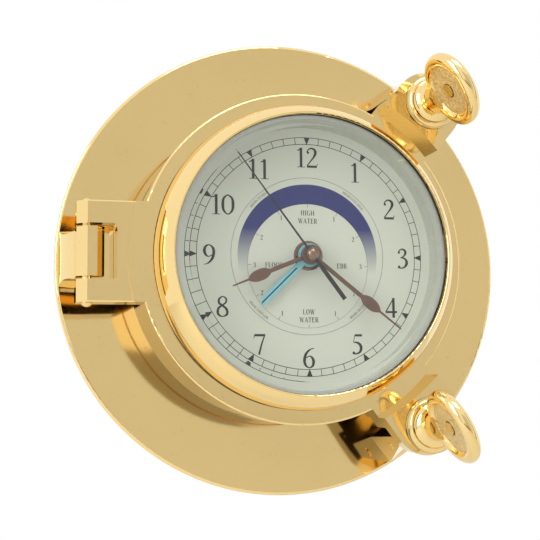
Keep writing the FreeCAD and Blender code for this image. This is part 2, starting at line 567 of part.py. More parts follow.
def flange_blank(name):
    """The dished disc before its holes; it also trims the pieces that stand on it."""
    return turned(name, [
        ("Size.flange_bore_radius", "0"),
        ("Size.flange_radius", "0"),
        ("Size.flange_radius", "Size.flange_rim_thickness - Size.flange_rim_round"),
        ("Size.flange_radius - Size.flange_rim_round", "Size.flange_rim_thickness",
         "Size.flange_rim_round", -1),
        ("Size.barrel_radius", "Size.flange_base_thickness", "Size.flange_dish_radius", 1),
        ("Size.flange_bore_radius", "Size.flange_base_thickness")])


def countersunk(name, x, z, clearance="0"):
    """A countersunk screw from behind the flange, or the tool that cuts its hole."""
    body = turned(name, [
        ("0", "0"),
        ("Size.flange_screw_head_radius + %s" % clearance, "0"),
        ("Size.flange_screw_radius + %s" % clearance, "Size.flange_screw_head_height"),
        ("Size.flange_screw_radius + %s" % clearance, "Size.flange_screw_length + %s" % clearance),
        ("0", "Size.flange_screw_length + %s" % clearance)])
    return put(body, x, "0", z)


def barrel_screw_spot(index):
    return polar("Size.barrel_screw_radius", "360 * (%d + 1 / 2) / Size.barrel_screw_count" % index)


def bracket_screw_spot(index):
    side = ("-", "+")[index]
    return "-Size.bracket_screw_x", "Size.hinge_rise %s Size.bracket_screw_spacing / 2" % side


def fork_screw_spot(angle, side):
    """Two screws under each fork, either side of its middle."""
    across = "(%s * Size.fork_screw_offset)" % side
    x = "Size.fork_screw_radius * cos(%s) - %s * sin(%s)" % (angle, across, angle)
    z = "Size.fork_screw_radius * sin(%s) + %s * cos(%s)" % (angle, across, angle)
    return x, z


LUG_ANGLES = {"upper": "Size.upper_lug_angle", "lower": "Size.lower_lug_angle"}
FORK_SPOTS = [fork_screw_spot(angle, side) for angle in LUG_ANGLES.values() for side in ("1", "-1")]
BRACKET_SPOTS = [bracket_screw_spot(index) for index in (0, 1)]
BARREL_SPOTS = [barrel_screw_spot(index) for index in range(int(amount("Size.barrel_screw_count")))]


def screw_tools(name, spots):
    return fuse(name, [countersunk("%sTool%d" % (name, index), x, z, FIT)
                       for index, (x, z) in enumerate(spots)])


def hanger_recess():
    """Recess for the hanger plate in the rear face of the flange, open to the bore below."""
    side = "Size.hanger_half_width + Size.hanger_clearance"
    return block("HangerRecess",
                 ("-(%s)" % side, "Size.hanger_inset + Size.hanger_thickness", "0"),
                 (side, "-%s" % OVER, "Size.hanger_top + Size.hanger_clearance"))


def make_flange():
    holes = fuse("FlangeHoles", [screw_tools("FlangeHole", BARREL_SPOTS + BRACKET_SPOTS + FORK_SPOTS),
                                 hanger_recess()] + hanger_screws("HangerHole", FIT))
    label(cut("FlangePiece", flange_blank("FlangeBlank"), holes), "flange")


def hanger_screws(name, clearance="0"):
    """Two short countersunk screws that hold the hanger to the flange from behind."""
    screws = []
    for index, side in enumerate(("-", "")):
        body = turned("%s%d" % (name, index), [
            ("0", "0"),
            ("Size.fine_screw_head_radius + %s" % clearance, "0"),
            ("Size.fine_screw_radius + %s" % clearance, "Size.fine_screw_head_height"),
            ("Size.fine_screw_radius + %s" % clearance, "Size.fine_screw_length + %s" % clearance),
            ("0", "Size.fine_screw_length + %s" % clearance)])
        screws.append(put(body, "%sSize.hanger_screw_spacing / 2" % side, "Size.hanger_inset",
                          "Size.hanger_top - Size.hanger_screw_drop"))
    return screws


def make_hanger():
    """Steel plate with a keyhole for one wall screw."""
    low = "Size.hanger_top - Size.hanger_height"
    plate = block("HangerPlate",
                  ("-Size.hanger_half_width", "Size.hanger_inset + Size.hanger_thickness", low),
                  ("Size.hanger_half_width", "Size.hanger_inset", "Size.hanger_top"))
    length = "Size.hanger_thickness + 2 * %s" % OVER
    back = "Size.hanger_inset - %s" % OVER
    entry = cylinder("KeyholeEntry", "Size.keyhole_radius", length, "0", back, "Size.keyhole_height")
    top = cylinder("KeyholeTop", "Size.keyhole_slot_radius", length, "0", back,
                   "Size.keyhole_height + Size.keyhole_rise")
    slot = block("KeyholeSlot", ("-Size.keyhole_slot_radius", back + " + " + length, "Size.keyhole_height"),
                 ("Size.keyhole_slot_radius", back, "Size.keyhole_height + Size.keyhole_rise"))
    tools = fuse("HangerHoles", [entry, top, slot] + hanger_screws("HangerPlateHole", FIT))
    label(cut("Hanger", plate, tools), "wall_hanger")
    label(group("HangerScrews", hanger_screws("HangerScrew")), "hanger_screws")


def make_barrel():
    """Tube that stands on the flange, with an inner foot for the screws."""
    blank = turned("BarrelBlank", [
        (BARREL_FOOT_RADIUS, "Size.flange_base_thickness"),
        ("Size.barrel_radius", "Size.flange_base_thickness"),
        ("Size.barrel_radius", "Size.door_back_depth - Size.door_seam"),
        ("Size.barrel_radius - Size.barrel_wall", "Size.door_back_depth - Size.door_seam"),
        ("Size.barrel_radius - Size.barrel_wall", "Size.flange_base_thickness + Size.barrel_foot_thickness"),
        (BARREL_FOOT_RADIUS, "Size.flange_base_thickness + Size.barrel_foot_thickness")])
    label(cut("Barrel", blank, screw_tools("BarrelHole", BARREL_SPOTS)), "case_barrel")
    screws = [countersunk("BarrelScrew%d" % index, x, z) for index, (x, z) in enumerate(BARREL_SPOTS)]
    label(group("BarrelScrews", screws), "barrel_screws")


# Hinge bracket and pin


def dome_radius(foot, height):
    """Radius of the sphere of a dome with this foot radius and height."""
    return "(%s * %s + %s * %s) / (2 * %s)" % (foot, foot, height, height, height)


def make_bracket():
    """Flared casting that carries the middle knuckle of the hinge."""
    face = "Size.door_face_depth - Size.leaf_face_drop"
    side = pad("BracketSide", "XY", [
        ("-Size.bracket_web_x", "0"),
        ("-Size.bracket_foot_x", "0"),
        ("-Size.bracket_foot_x", "-Size.flange_base_thickness"),
        ("-Size.leaf_end_x", "-Size.bracket_flare_depth", "Size.bracket_side_flare_radius", -1),
        ("-Size.leaf_end_x", "-(%s - Size.leaf_chamfer)" % face),
        ("-Size.leaf_end_x + Size.leaf_chamfer", "-(%s)" % face),
        ("-Size.knuckle_inner_x - Size.knuckle_chamfer", "-(%s)" % face),
        ("-Size.knuckle_inner_x", "-(%s - Size.knuckle_chamfer)" % face),
        ("-Size.knuckle_inner_x", "-Size.bracket_web_depth"),
        ("-Size.bracket_web_x", "-Size.bracket_web_depth")],
        "2 * Size.bracket_foot_half_height")
    put(side, "0", "0", "Size.hinge_rise - Size.bracket_foot_half_height")
    low, high = "-Size.knuckle_half_height", "Size.knuckle_half_height"
    front = pad("BracketFront", "YZ", [
        ("0", "-Size.bracket_foot_half_height"),
        ("-Size.flange_base_thickness", "-Size.bracket_foot_half_height"),
        ("-Size.bracket_flare_depth", low, "Size.bracket_flare_radius", -1),
        ("-(%s)" % face, low),
        ("-(%s)" % face, high),
        ("-Size.bracket_flare_depth", high),
        ("-Size.flange_base_thickness", "Size.bracket_foot_half_height", "Size.bracket_flare_radius", -1),
        ("0", "Size.bracket_foot_half_height")],
        "Size.bracket_foot_x - Size.bracket_web_x")
    put(front, "-Size.bracket_foot_x", "0", "Size.hinge_rise")
    shape = common("BracketShape", side, front)
    bore = cylinder("BracketBore", "Size.hinge_pin_radius + %s" % FIT, "2 * Size.leaf_half_height",
                    "-Size.hinge_axis_x", "Size.hinge_axis_depth",
                    "Size.hinge_rise - Size.leaf_half_height", "Z")
    tools = fuse("BracketTools", [flange_blank("BracketSeat"), bore,
                                  screw_tools("BracketHole", BRACKET_SPOTS)])
    label(cut("Bracket", shape, tools), "hinge_bracket")
    screws = [countersunk("BracketScrew%d" % index, x, z) for index, (x, z) in enumerate(BRACKET_SPOTS)]
    label(group("BracketScrews", screws), "bracket_screws")


def make_hinge_pin():
    """Pin through all three knuckles, with a domed head at each end."""
    half = "(Size.leaf_half_height + Size.pin_head_gap)"
    tip = "(Size.leaf_half_height + Size.pin_head_gap + Size.hinge_pin_head_height)"
    head, shank = "Size.hinge_pin_head_radius", "Size.hinge_pin_radius"
    dome = dome_radius(head, "Size.hinge_pin_head_height")
    pin = turned("HingePin", [
        ("0", "-%s" % tip), (head, "-%s" % half, dome, -1), (shank, "-%s" % half),
        (shank, half), (head, half), ("0", tip, dome, -1)])
    label(put(pin, "-Size.hinge_axis_x", "Size.hinge_axis_depth", "Size.hinge_rise", rotation=UP_AXIS),
          "hinge_pin")


# Door ring with its hinge leaf and two lugs


def fork_placement(item, name):
    """Turn a piece that was drawn along +X to the angle of its lug."""
    return put(item, turn=LUG_ANGLES[name])


def lug_blank(name):
    """Plate of a lug along +X: straight sides and a round end."""
    half = "Size.lug_half_width"
    tip = "Size.bolt_circle_radius + Size.lug_end_reach"
    plate = pad("LugPlate" + name, "XZ", [
        ("Size.door_radius - Size.lug_half_width / 2", "-%s" % half),
        ("%s - %s" % (tip, half), "-%s" % half),
        (tip, "0", half, -1),
        ("%s - %s" % (tip, half), half, half, -1),
        ("Size.door_radius - Size.lug_half_width / 2", half)],
        "Size.lug_thickness")
    put(plate, "0", "Size.lug_face_depth - Size.lug_thickness", "0")
    return plate


def make_lug(name):
    """One lug: thick root on the ring, plate with the open slot, relief for the swinging nut."""
    half = "Size.lug_half_width"
    reach = "(Size.lug_face_depth - Size.fork_pin_depth)"
    relief = cylinder("LugRelief" + name,
                      "sqrt(%s * %s + Size.lug_flat_reach * Size.lug_flat_reach)" % (reach, reach),
                      "2 * %s + 2 * %s" % (half, OVER),
                      "Size.fork_pin_circle_radius", "Size.fork_pin_depth", "-%s - %s" % (half, OVER), "Z")
    side = "(%s + %s)" % (half, OVER)
    inner = block("LugInner" + name,
                  ("Size.door_radius - %s" % half, "Size.lug_face_depth + %s" % OVER, "-" + side),
                  ("Size.fork_pin_circle_radius + Size.lug_flat_reach", "0", side))
    plate = common("LugEased" + name, lug_blank(name), fuse("LugLimit" + name, [relief, inner]))
    root = block("LugRoot" + name,
                 ("Size.door_radius - %s / 2" % half, "Size.lug_face_depth - Size.lug_thickness / 2",
                  "-" + half),
                 ("Size.lug_root_radius", "Size.door_back_depth + Size.leaf_chamfer", half))
    behind = "Size.lug_face_depth - Size.lug_thickness - " + OVER
    slot_round = cylinder("LugSlotRound" + name, "Size.lug_slot_half_width",
                          "Size.lug_thickness + 2 * %s" % OVER, "Size.bolt_circle_radius",
                          behind, "0")
    slot = block("LugSlot" + name,
                 ("Size.bolt_circle_radius", "Size.lug_face_depth + " + OVER, "-Size.lug_slot_half_width"),
                 ("Size.bolt_circle_radius + " + side, behind, "Size.lug_slot_half_width"))
    # The flat of the door runs out under the lug to the foot of its wall.
    inside = cylinder("LugInside" + name, "Size.lug_wall_radius",
                      "Size.lug_face_depth - Size.door_face_depth + %s" % OVER,
                      "0", "Size.door_face_depth", "0")
    tools = fuse("LugTools" + name, [slot_round, slot, inside])
    shape = cut("LugShape" + name, fuse("LugSolid" + name, [plate, root]), tools)
    return fork_placement(shape, name)


def make_leaf():
    """Hinge leaf at the left of the door, with its notch and the bore for the pin."""
    face = "Size.door_face_depth - Size.leaf_face_drop"
    inner = "Size.door_radius - Size.lug_half_width / 2"
    edge = "Size.leaf_edge_chamfer"
    plate = pad("LeafPlate", "XY", [
        ("-(%s)" % inner, "-Size.door_back_depth"),
        ("-(%s)" % inner, "-(%s)" % face),
        ("-Size.leaf_end_x + Size.leaf_chamfer", "-(%s)" % face),
        ("-Size.leaf_end_x", "-(%s - Size.leaf_chamfer)" % face),
        ("-Size.leaf_end_x", "-Size.door_back_depth")],
        "2 * Size.leaf_half_height")
    put(plate, "0", "0", "Size.hinge_rise - Size.leaf_half_height")
    # A second prism, seen along X, breaks the long front edges.
    shape = pad("LeafEdges", "YZ", [
        ("-Size.door_back_depth", "-Size.leaf_half_height"),
        ("-(%s - %s)" % (face, edge), "-Size.leaf_half_height"),
        ("-(%s)" % face, "-Size.leaf_half_height + %s" % edge),
        ("-(%s)" % face, "Size.leaf_half_height - %s" % edge),
        ("-(%s - %s)" % (face, edge), "Size.leaf_half_height"),
        ("-Size.door_back_depth", "Size.leaf_half_height")],
        "Size.leaf_end_x")
    put(shape, "-Size.leaf_end_x", "0", "Size.hinge_rise")
    leaf = common("Leaf", plate, shape)
    low, high, turn = "-Size.notch_half_height", "Size.notch_half_height", "Size.notch_round"
    notch = pad("LeafNotch", "XZ", [
        ("-Size.leaf_end_x - " + OVER, low),
        ("-Size.notch_x - " + turn, low),
        ("-Size.notch_x", "%s + %s" % (low, turn), turn, -1),
        ("-Size.notch_x", "%s - %s" % (high, turn)),
        ("-Size.notch_x - " + turn, high, turn, -1),
        ("-Size.leaf_end_x - " + OVER, high)],
        "Size.door_thickness + 2 * " + OVER)
    put(notch, "0", "Size.door_back_depth - " + OVER, "Size.hinge_rise")
    bore = cylinder("LeafBore", "Size.hinge_pin_radius + Size.hinge_pin_clearance",
                    "2 * Size.leaf_half_height + 2 * %s" % OVER, "-Size.hinge_axis_x",
                    "Size.hinge_axis_depth",
                    "Size.hinge_rise - Size.leaf_half_height - %s" % OVER, "Z")
    return cut("LeafCut", leaf, fuse("LeafTools", [notch, bore]))


def make_pad(name, low, high):
    """Flat of the door where it runs out to a larger radius, between two straight sides."""
    disc = cylinder("PadDisc" + name, "Size.pad_radius", "Size.door_face_depth - Size.door_back_depth",
                    "0", "Size.door_back_depth", "0")
    return common("Pad" + name, disc, block("PadBox" + name, low, high))


def cover_screw(index, clearance="0", name="CoverScrew"):
    x, z = polar("Size.cover_screw_radius", "360 * (%d + 1 / 4) / Size.cover_screw_count" % index)
    body = turned("%s%d" % (name, index), [
        ("0", "-Size.fine_screw_head_height"),
        ("Size.fine_screw_head_radius + %s" % clearance, "-Size.fine_screw_head_height"),
        ("Size.fine_screw_head_radius + %s" % clearance, "0"),
        ("Size.fine_screw_radius + %s" % clearance, "0"),
        ("Size.fine_screw_radius + %s" % clearance, "Size.fine_screw_length + %s" % clearance),
        ("0", "Size.fine_screw_length + %s" % clearance)])
    return put(body, x, "Size.shelf_back_depth - Size.cover_thickness", z)


def bezel_screw(index, clearance="0", name="BezelScrew"):
    """A long screw from the rear face of the door into the bezel, its head sunk in the door."""
    x, z = polar("Size.bezel_screw_radius", "360 * (%d + 1 / 2) / Size.bezel_screw_count" % index)
    body = turned("%s%d" % (name, index), [
        ("0", "-%s" % clearance),
        ("Size.fine_screw_head_radius + %s" % clearance, "-%s" % clearance),
        ("Size.fine_screw_head_radius + %s" % clearance, "Size.fine_screw_head_height"),
        ("Size.fine_screw_radius + %s" % clearance, "Size.fine_screw_head_height"),
        ("Size.fine_screw_radius + %s" % clearance, "Size.bezel_screw_length + %s" % clearance),
        ("0", "Size.bezel_screw_length + %s" % clearance)])
    return put(body, x, "Size.door_back_depth", z)


def make_door():
    ring = turned("DoorRing", [
        ("Size.insert_bore_radius", "Size.door_back_depth"),
        ("Size.door_radius", "Size.door_back_depth"),
        ("Size.door_radius", "Size.door_face_depth - Size.door_edge_round"),
        ("Size.door_radius - Size.door_edge_round", "Size.door_face_depth", "Size.door_edge_round", -1),
        ("Size.bezel_seat_radius", "Size.door_face_depth"),
        ("Size.bezel_seat_radius", "Size.bezel_seat_depth"),
        ("Size.insert_bore_radius", "Size.bezel_seat_depth"),
        ("Size.insert_bore_radius", "Size.shelf_front_depth"),
        ("Size.shelf_bore_radius", "Size.shelf_front_depth"),
        ("Size.shelf_bore_radius", "Size.shelf_back_depth"),
        ("Size.insert_bore_radius", "Size.shelf_back_depth")])
    low, high = "Size.hinge_rise - Size.leaf_half_height", "Size.hinge_rise + Size.leaf_half_height"
    pads = [make_pad("Leaf", ("-Size.pad_radius", "Size.door_face_depth", low),
                     ("-Size.bezel_seat_radius", "Size.door_back_depth", high))]
    for name in LUG_ANGLES:
        item = make_pad(name, ("Size.bezel_seat_radius", "Size.door_face_depth", "-Size.lug_half_width"),
                        ("Size.pad_radius", "Size.door_back_depth", "Size.lug_half_width"))
        pads.append(fork_placement(item, name))
    solid = fuse("DoorSolid", [ring, make_leaf()] + pads + [make_lug(name) for name in LUG_ANGLES])
    seat = cylinder("BezelSeat", "Size.bezel_seat_radius", "Size.lug_face_depth - Size.bezel_seat_depth",
                    "0", "Size.bezel_seat_depth", "0")
    bore = cylinder("InsertBore", "Size.insert_bore_radius",
                    "Size.bezel_seat_depth - Size.shelf_front_depth",
                    "0", "Size.shelf_front_depth", "0")
    holes = [cover_screw(index, FIT, "CoverHole") for index in range(int(amount("Size.cover_screw_count")))]
    holes += [bezel_screw(index, FIT, "BezelHole") for index in range(int(amount("Size.bezel_screw_count")))]
    label(cut("Door", solid, fuse("DoorTools", [seat, bore] + holes)), "door_ring")


# Bezel, glass and the stack behind it

BEZEL_RADIUS = "(Size.bezel_seat_radius - Size.bezel_clearance)"
STACK_RADIUS = "(Size.bezel_bore_radius - Size.stack_clearance)"
GLASS_RIM_DEPTH = "(Size.bezel_front_depth - Size.bezel_lip_thickness - Size.stack_clearance)"
DIAL_BACK_DEPTH = "(Size.dial_front_depth - Size.dial_thickness)"
COVER_BACK_DEPTH = "(Size.shelf_back_depth - Size.cover_thickness)"


def make_bezel():
    lip_out = "Size.bezel_lip_radius + Size.bezel_lip_land"
    blank = turned("BezelBlank", [
        ("Size.bezel_bore_radius", "Size.bezel_seat_depth"),
        (BEZEL_RADIUS, "Size.bezel_seat_depth"),
        (BEZEL_RADIUS, "Size.bezel_shoulder_depth"),
        (lip_out, "Size.bezel_front_depth", "Size.bezel_round_radius", -1),
        ("Size.bezel_lip_radius", "Size.bezel_front_depth - Size.bezel_lip_land", "Size.bezel_lip_land", -1),
        ("Size.bezel_lip_radius", "Size.bezel_front_depth - Size.bezel_lip_thickness"),
        ("Size.bezel_bore_radius", "Size.bezel_front_depth - Size.bezel_lip_thickness")])
    screws = range(int(amount("Size.bezel_screw_count")))
    holes = fuse("BezelHoles", [bezel_screw(index, FIT, "BezelThread") for index in screws])
    label(cut("Bezel", blank, holes), "bezel")
    label(group("BezelScrews", [bezel_screw(index) for index in screws]), "bezel_screws")


def make_glass():
    flat = "(Size.bezel_lip_radius - Size.glass_bevel_width)"
    label(turned("Glass", [
        ("0", "Size.glass_back_depth"),
        (STACK_RADIUS, "Size.glass_back_depth"),
        (STACK_RADIUS, GLASS_RIM_DEPTH),
        ("Size.bezel_lip_radius", GLASS_RIM_DEPTH),
        (flat, "%s + Size.glass_bevel_drop" % GLASS_RIM_DEPTH),
        ("0", "%s + Size.glass_bevel_drop" % GLASS_RIM_DEPTH)]), "glass")
    gasket_back = "Size.glass_back_depth - Size.gasket_thickness"
    label(turned("Gasket", [
        ("%s - Size.gasket_width" % STACK_RADIUS, gasket_back),
        (STACK_RADIUS, gasket_back),
        (STACK_RADIUS, "Size.glass_back_depth"),
        ("%s - Size.gasket_width" % STACK_RADIUS, "Size.glass_back_depth")]), "glass_gasket")
    label(turned("Rehaut", [
        ("Size.rehaut_foot_radius", "Size.dial_front_depth"),
        (STACK_RADIUS, "Size.dial_front_depth"),
        (STACK_RADIUS, gasket_back),
        ("Size.rehaut_top_radius", gasket_back)]), "inner_ring")


def make_dial():
    label(turned("Dial", [
        ("Size.bush_radius + Size.hidden_fit", DIAL_BACK_DEPTH),
        (STACK_RADIUS, DIAL_BACK_DEPTH),
        (STACK_RADIUS, "Size.dial_front_depth"),
        ("Size.bush_radius + Size.hidden_fit", "Size.dial_front_depth")]), "dial")
    label(turned("Spacer", [
        ("Size.spacer_inner_radius", "Size.shelf_front_depth"),
        (STACK_RADIUS, "Size.shelf_front_depth"),
        (STACK_RADIUS, DIAL_BACK_DEPTH),
        ("Size.spacer_inner_radius", DIAL_BACK_DEPTH)]), "spacer_ring")


def make_cover():
    """Thin disc behind the dial stack, with a square window for the movement."""
    disc = cylinder("CoverDisc", "Size.insert_bore_radius - Size.stack_clearance", "Size.cover_thickness",
                    "0", COVER_BACK_DEPTH, "0")
    side = "(Size.case_half_width + Size.cover_window_clearance)"
    window = block("CoverWindow", ("-%s" % side, "Size.shelf_back_depth + %s" % OVER, "-%s" % side),
                   (side, "%s - %s" % (COVER_BACK_DEPTH, OVER), side))
    screws = range(int(amount("Size.cover_screw_count")))
    holes = [cover_screw(index, FIT, "CoverPlateHole") for index in screws]
    label(cut("Cover", disc, fuse("CoverTools", [window] + holes)), "rear_cover")
    label(group("CoverScrews", [cover_screw(index) for index in screws]), "cover_screws")


# Forks, fork pins, swing bolts, washers and eye nuts


def make_fork(name):
    """Fork that stands on the flange and carries the pin of a swing bolt."""
    profile = pad("ForkProfile" + name, "XY", [
        ("Size.fork_inner_radius", "0"),
        ("Size.fork_top_radius", "-(Size.fork_top_depth - Size.fork_top_fall)"),
        ("Size.fork_top_radius + Size.fork_top_width", "-Size.fork_top_depth"),
        ("Size.fork_foot_radius", "-Size.flange_rim_thickness"),
        ("Size.fork_foot_radius", "0")],
        "2 * Size.fork_half_width")
    put(profile, "0", "0", "-Size.fork_half_width")
    slot = block("ForkSlot" + name,
                 ("Size.fork_top_radius - %s" % OVER, "Size.fork_top_depth + %s" % OVER,
                  "-Size.fork_slot_half_width"),
                 ("Size.fork_foot_radius + %s" % OVER, "Size.fork_floor_depth", "Size.fork_slot_half_width"))
    bore = cylinder("ForkBore" + name, "Size.fork_pin_radius + %s" % FIT,
                    "2 * Size.fork_half_width + 2 * %s" % OVER,
                    "Size.fork_pin_circle_radius", "Size.fork_pin_depth",
                    "-Size.fork_half_width - " + OVER, "Z")
    holes = [countersunk("ForkHole%s%d" % (name, index), "Size.fork_screw_radius",
                         "%s * Size.fork_screw_offset" % side, FIT)
             for index, side in enumerate(("1", "-1"))]
    tools = fuse("ForkTools" + name, [flange_blank("ForkSeat" + name), slot, bore] + holes)
    label(fork_placement(cut("Fork" + name, profile, tools), name), name + "_fork")


def make_fork_pin(name):
    half = "(Size.fork_half_width + Size.fork_pin_proud)"
    pin = cylinder("ForkPinRod" + name, "Size.fork_pin_radius", "2 * %s" % half,
                   "Size.fork_pin_circle_radius", "Size.fork_pin_depth", "-%s" % half, "Z")
    label(fork_placement(group("ForkPin" + name, [pin]), name), name + "_fork_pin")


def make_bolt(name):
    """Swing bolt with a hooked foot beside its axis, which straddles its pin and is open to the rear."""
    shank = cylinder("BoltShank" + name, "Size.bolt_radius", "Size.bolt_end_depth - Size.fork_pin_depth",
                     "Size.bolt_circle_radius", "Size.fork_pin_depth", "0")
    width = "2 * Size.bolt_foot_half_width"
    eye = cylinder("BoltEye" + name, "Size.bolt_foot_radius", width, "Size.fork_pin_circle_radius",
                   "Size.fork_pin_depth", "-Size.bolt_foot_half_width", "Z")
    hook = "(Size.fork_pin_radius + Size.bolt_hook_clearance)"
    slot_round = cylinder("HookRound" + name, hook, width + " + 2 * " + OVER, "Size.fork_pin_circle_radius",
                          "Size.fork_pin_depth", "-Size.bolt_foot_half_width - " + OVER, "Z")
    slot = block("HookSlot" + name,
                 ("Size.fork_pin_circle_radius - " + hook, "Size.fork_pin_depth",
                  "-Size.bolt_foot_half_width - " + OVER),
                 ("Size.fork_pin_circle_radius + " + hook,
                  "Size.fork_pin_depth - Size.bolt_foot_radius - " + OVER,
                  "Size.bolt_foot_half_width + " + OVER))
    solid = fuse("BoltSolid" + name, [shank, eye])
    bolt = cut("Bolt" + name, solid, fuse("HookTools" + name, [slot_round, slot]))
    label(fork_placement(bolt, name), name + "_swing_bolt")


WASHER_BACK_DEPTH = "(Size.lug_face_depth + Size.nut_seat_gap)"
NUT_BACK_DEPTH = "(%s + Size.washer_height + Size.nut_stack_gap)" % WASHER_BACK_DEPTH


def at_bolt(body, name):
    """Carry a piece that was turned about the Y axis to the bolt of its lug."""
    x, z = polar("Size.bolt_circle_radius", LUG_ANGLES[name])
    return put(body, x, "0", z)


def make_washer(name):
    bore = "Size.bolt_radius + Size.washer_bore_clearance"
    washer = turned("Washer" + name, [
        (bore, WASHER_BACK_DEPTH),
        ("Size.washer_radius", WASHER_BACK_DEPTH),
        ("Size.washer_radius", "%s + Size.washer_rim_height" % WASHER_BACK_DEPTH),
        ("Size.washer_top_radius", "%s + Size.washer_height" % WASHER_BACK_DEPTH, "Size.washer_cove", 1),
        (bore, "%s + Size.washer_height" % WASHER_BACK_DEPTH)])
    label(at_bolt(washer, name), name + "_foot_washer")


def make_eye_nut(name):
    """Eye nut: coned foot and neck below a round eye with a recessed web."""
    foot = turned("NutFoot" + name, [
        ("0", NUT_BACK_DEPTH),
        ("Size.nut_foot_radius", NUT_BACK_DEPTH),
        ("Size.nut_foot_radius", "%s + Size.nut_foot_rim" % NUT_BACK_DEPTH),
        ("Size.nut_neck_radius", "Size.nut_neck_depth", "Size.nut_cove_radius", 1),
        ("Size.nut_shoulder_radius", "Size.nut_shoulder_depth"),
        ("0", "Size.nut_shoulder_depth")])
    ring = doc.addObject("Part::Torus", "EyeRing" + name)
    ring.setExpression("Radius1", "Size.eye_ring_radius")
    ring.setExpression("Radius2", "Size.eye_tube_radius")
    put(ring, "0", "Size.eye_depth", "0", rotation=Rotation(Vector(0, 1, 0), 90))
    web = cylinder("EyeWeb" + name, "Size.eye_ring_radius", "Size.eye_web_thickness",
                   "-Size.eye_web_thickness / 2", "Size.eye_depth", "0", "X")
    solid = fuse("NutSolid" + name, [foot, ring, web])
    hole = cylinder("NutPinHole" + name, "Size.nut_pin_hole_radius",
                    "Size.eye_web_thickness + 2 * " + OVER,
                    "-Size.eye_web_thickness / 2 - " + OVER, "Size.nut_pin_depth", "0", "X")
    bore = cylinder("NutBore" + name, "Size.bolt_radius + Size.nut_bore_clearance",
                    "Size.bolt_end_depth + Size.hidden_fit - " + NUT_BACK_DEPTH, "0", NUT_BACK_DEPTH, "0")
    nut = cut("Nut" + name, solid, fuse("NutTools" + name, [hole, bore]))
    pin = group("NutPin" + name, [cylinder("NutPinRod" + name, "Size.nut_pin_radius", "Size.nut_pin_length",
                                           "-Size.nut_pin_length / 2", "Size.nut_pin_depth", "0", "X")])
    x, z = polar("Size.bolt_circle_radius", LUG_ANGLES[name])
    for item, title in ((nut, "_eye_nut"), (pin, "_nut_pin")):
        label(put(item, x, "0", z, turn="Size.%s_eye_angle" % name), name + title)


# Hands and centre


def hand_points(reach, pear):
    """Right half of a hand that points to 12: boss, stem, pear, long tip."""
    low, high = "%s - Size.pear_half_length" % pear, "%s + Size.pear_half_length" % pear
    swell = "(Size.pear_half_length * Size.pear_half_length + Size.pear_half_width * Size.pear_half_width)"
    bow = "%s / (2 * Size.pear_half_width)" % swell
    right = [("Size.stem_half_width", "0"), ("Size.stem_half_width", low),
             ("Size.pear_half_width", pear, bow, -1), ("Size.stem_half_width / 2", high, bow, -1),
             ("Size.tip_half_width", reach)]
    return right


def mirrored(right):
    """Close a right half with its mirror image, top to bottom."""
    left = []
    for index in range(len(right) - 1, -1, -1):
        corner = right[index]
        arc = right[index + 1][2:] if index + 1 < len(right) else ()
        left.append(("-(%s)" % corner[0], corner[1]) + tuple(arc))
    return right + left


def make_hand(name, outline, depth, angle, boss, bore):
    blade = put(pad("Blade" + name, "XZ", outline, "Size.hand_thickness"), "0", depth, "0")
    disc = cylinder("Boss" + name, boss, "2 * Size.hand_thickness", "0", depth, "0")
    hole = cylinder("Hole" + name, bore + " + Size.hidden_fit / 2",
                    "2 * Size.hand_thickness + 2 * " + OVER, "0",
                    depth + " - " + OVER, "0")
    hand = cut("Hand" + name, fuse("HandSolid" + name, [blade, disc]), hole)
    label(put(hand, turn="-(%s)" % angle), name + "_hand")


def make_hands():
    make_hand("minute", mirrored(hand_points("Size.minute_reach", "Size.minute_pear")),
              "Size.minute_hand_depth", "Size.minute_angle",
              "Size.hand_boss_radius", "Size.minute_pipe_radius")
    make_hand("hour", mirrored(hand_points("Size.hour_reach", "Size.hour_pear")),
              "Size.hour_hand_depth", "Size.hour_angle", "Size.hand_boss_radius", "Size.hour_pipe_radius")
    width = "Size.tide_half_width"
    make_hand("tide", [("-%s" % width, "0"), (width, "0"), (width, "Size.tide_reach - Size.tide_slant"),
                       ("-%s" % width, "Size.tide_reach")],
              "Size.tide_hand_depth", "Size.tide_angle", "Size.tide_boss_radius", "Size.tide_pipe_radius")
    thin, broad = "Size.second_half_width", "Size.second_tail_half_width"
    make_hand("second", mirrored([(broad, "-Size.second_tail"),
                                  (broad, "-Size.second_tail_start"), (thin, "0"),
                                  (thin + " / 2", "Size.second_reach")]),
              "Size.second_hand_depth", "Size.second_angle", "Size.second_boss_radius",
              "Size.second_arbor_radius")
    base = "Size.second_hand_depth + 2 * Size.hand_thickness"
    label(turned("Cap", [
        ("Size.second_arbor_radius + Size.hidden_fit / 2", base),
        ("Size.cap_radius", base),
        ("Size.cap_radius", base + " + Size.cap_height / 4"),
        ("0", base + " + Size.cap_height", dome_radius("Size.cap_radius", "(Size.cap_height * 3 / 4)"), -1),
        ("0", base + " + Size.cap_height * 3 / 4"),
        ("Size.second_arbor_radius + Size.hidden_fit / 2", base + " + Size.cap_height * 3 / 4")]),
        "centre_cap")


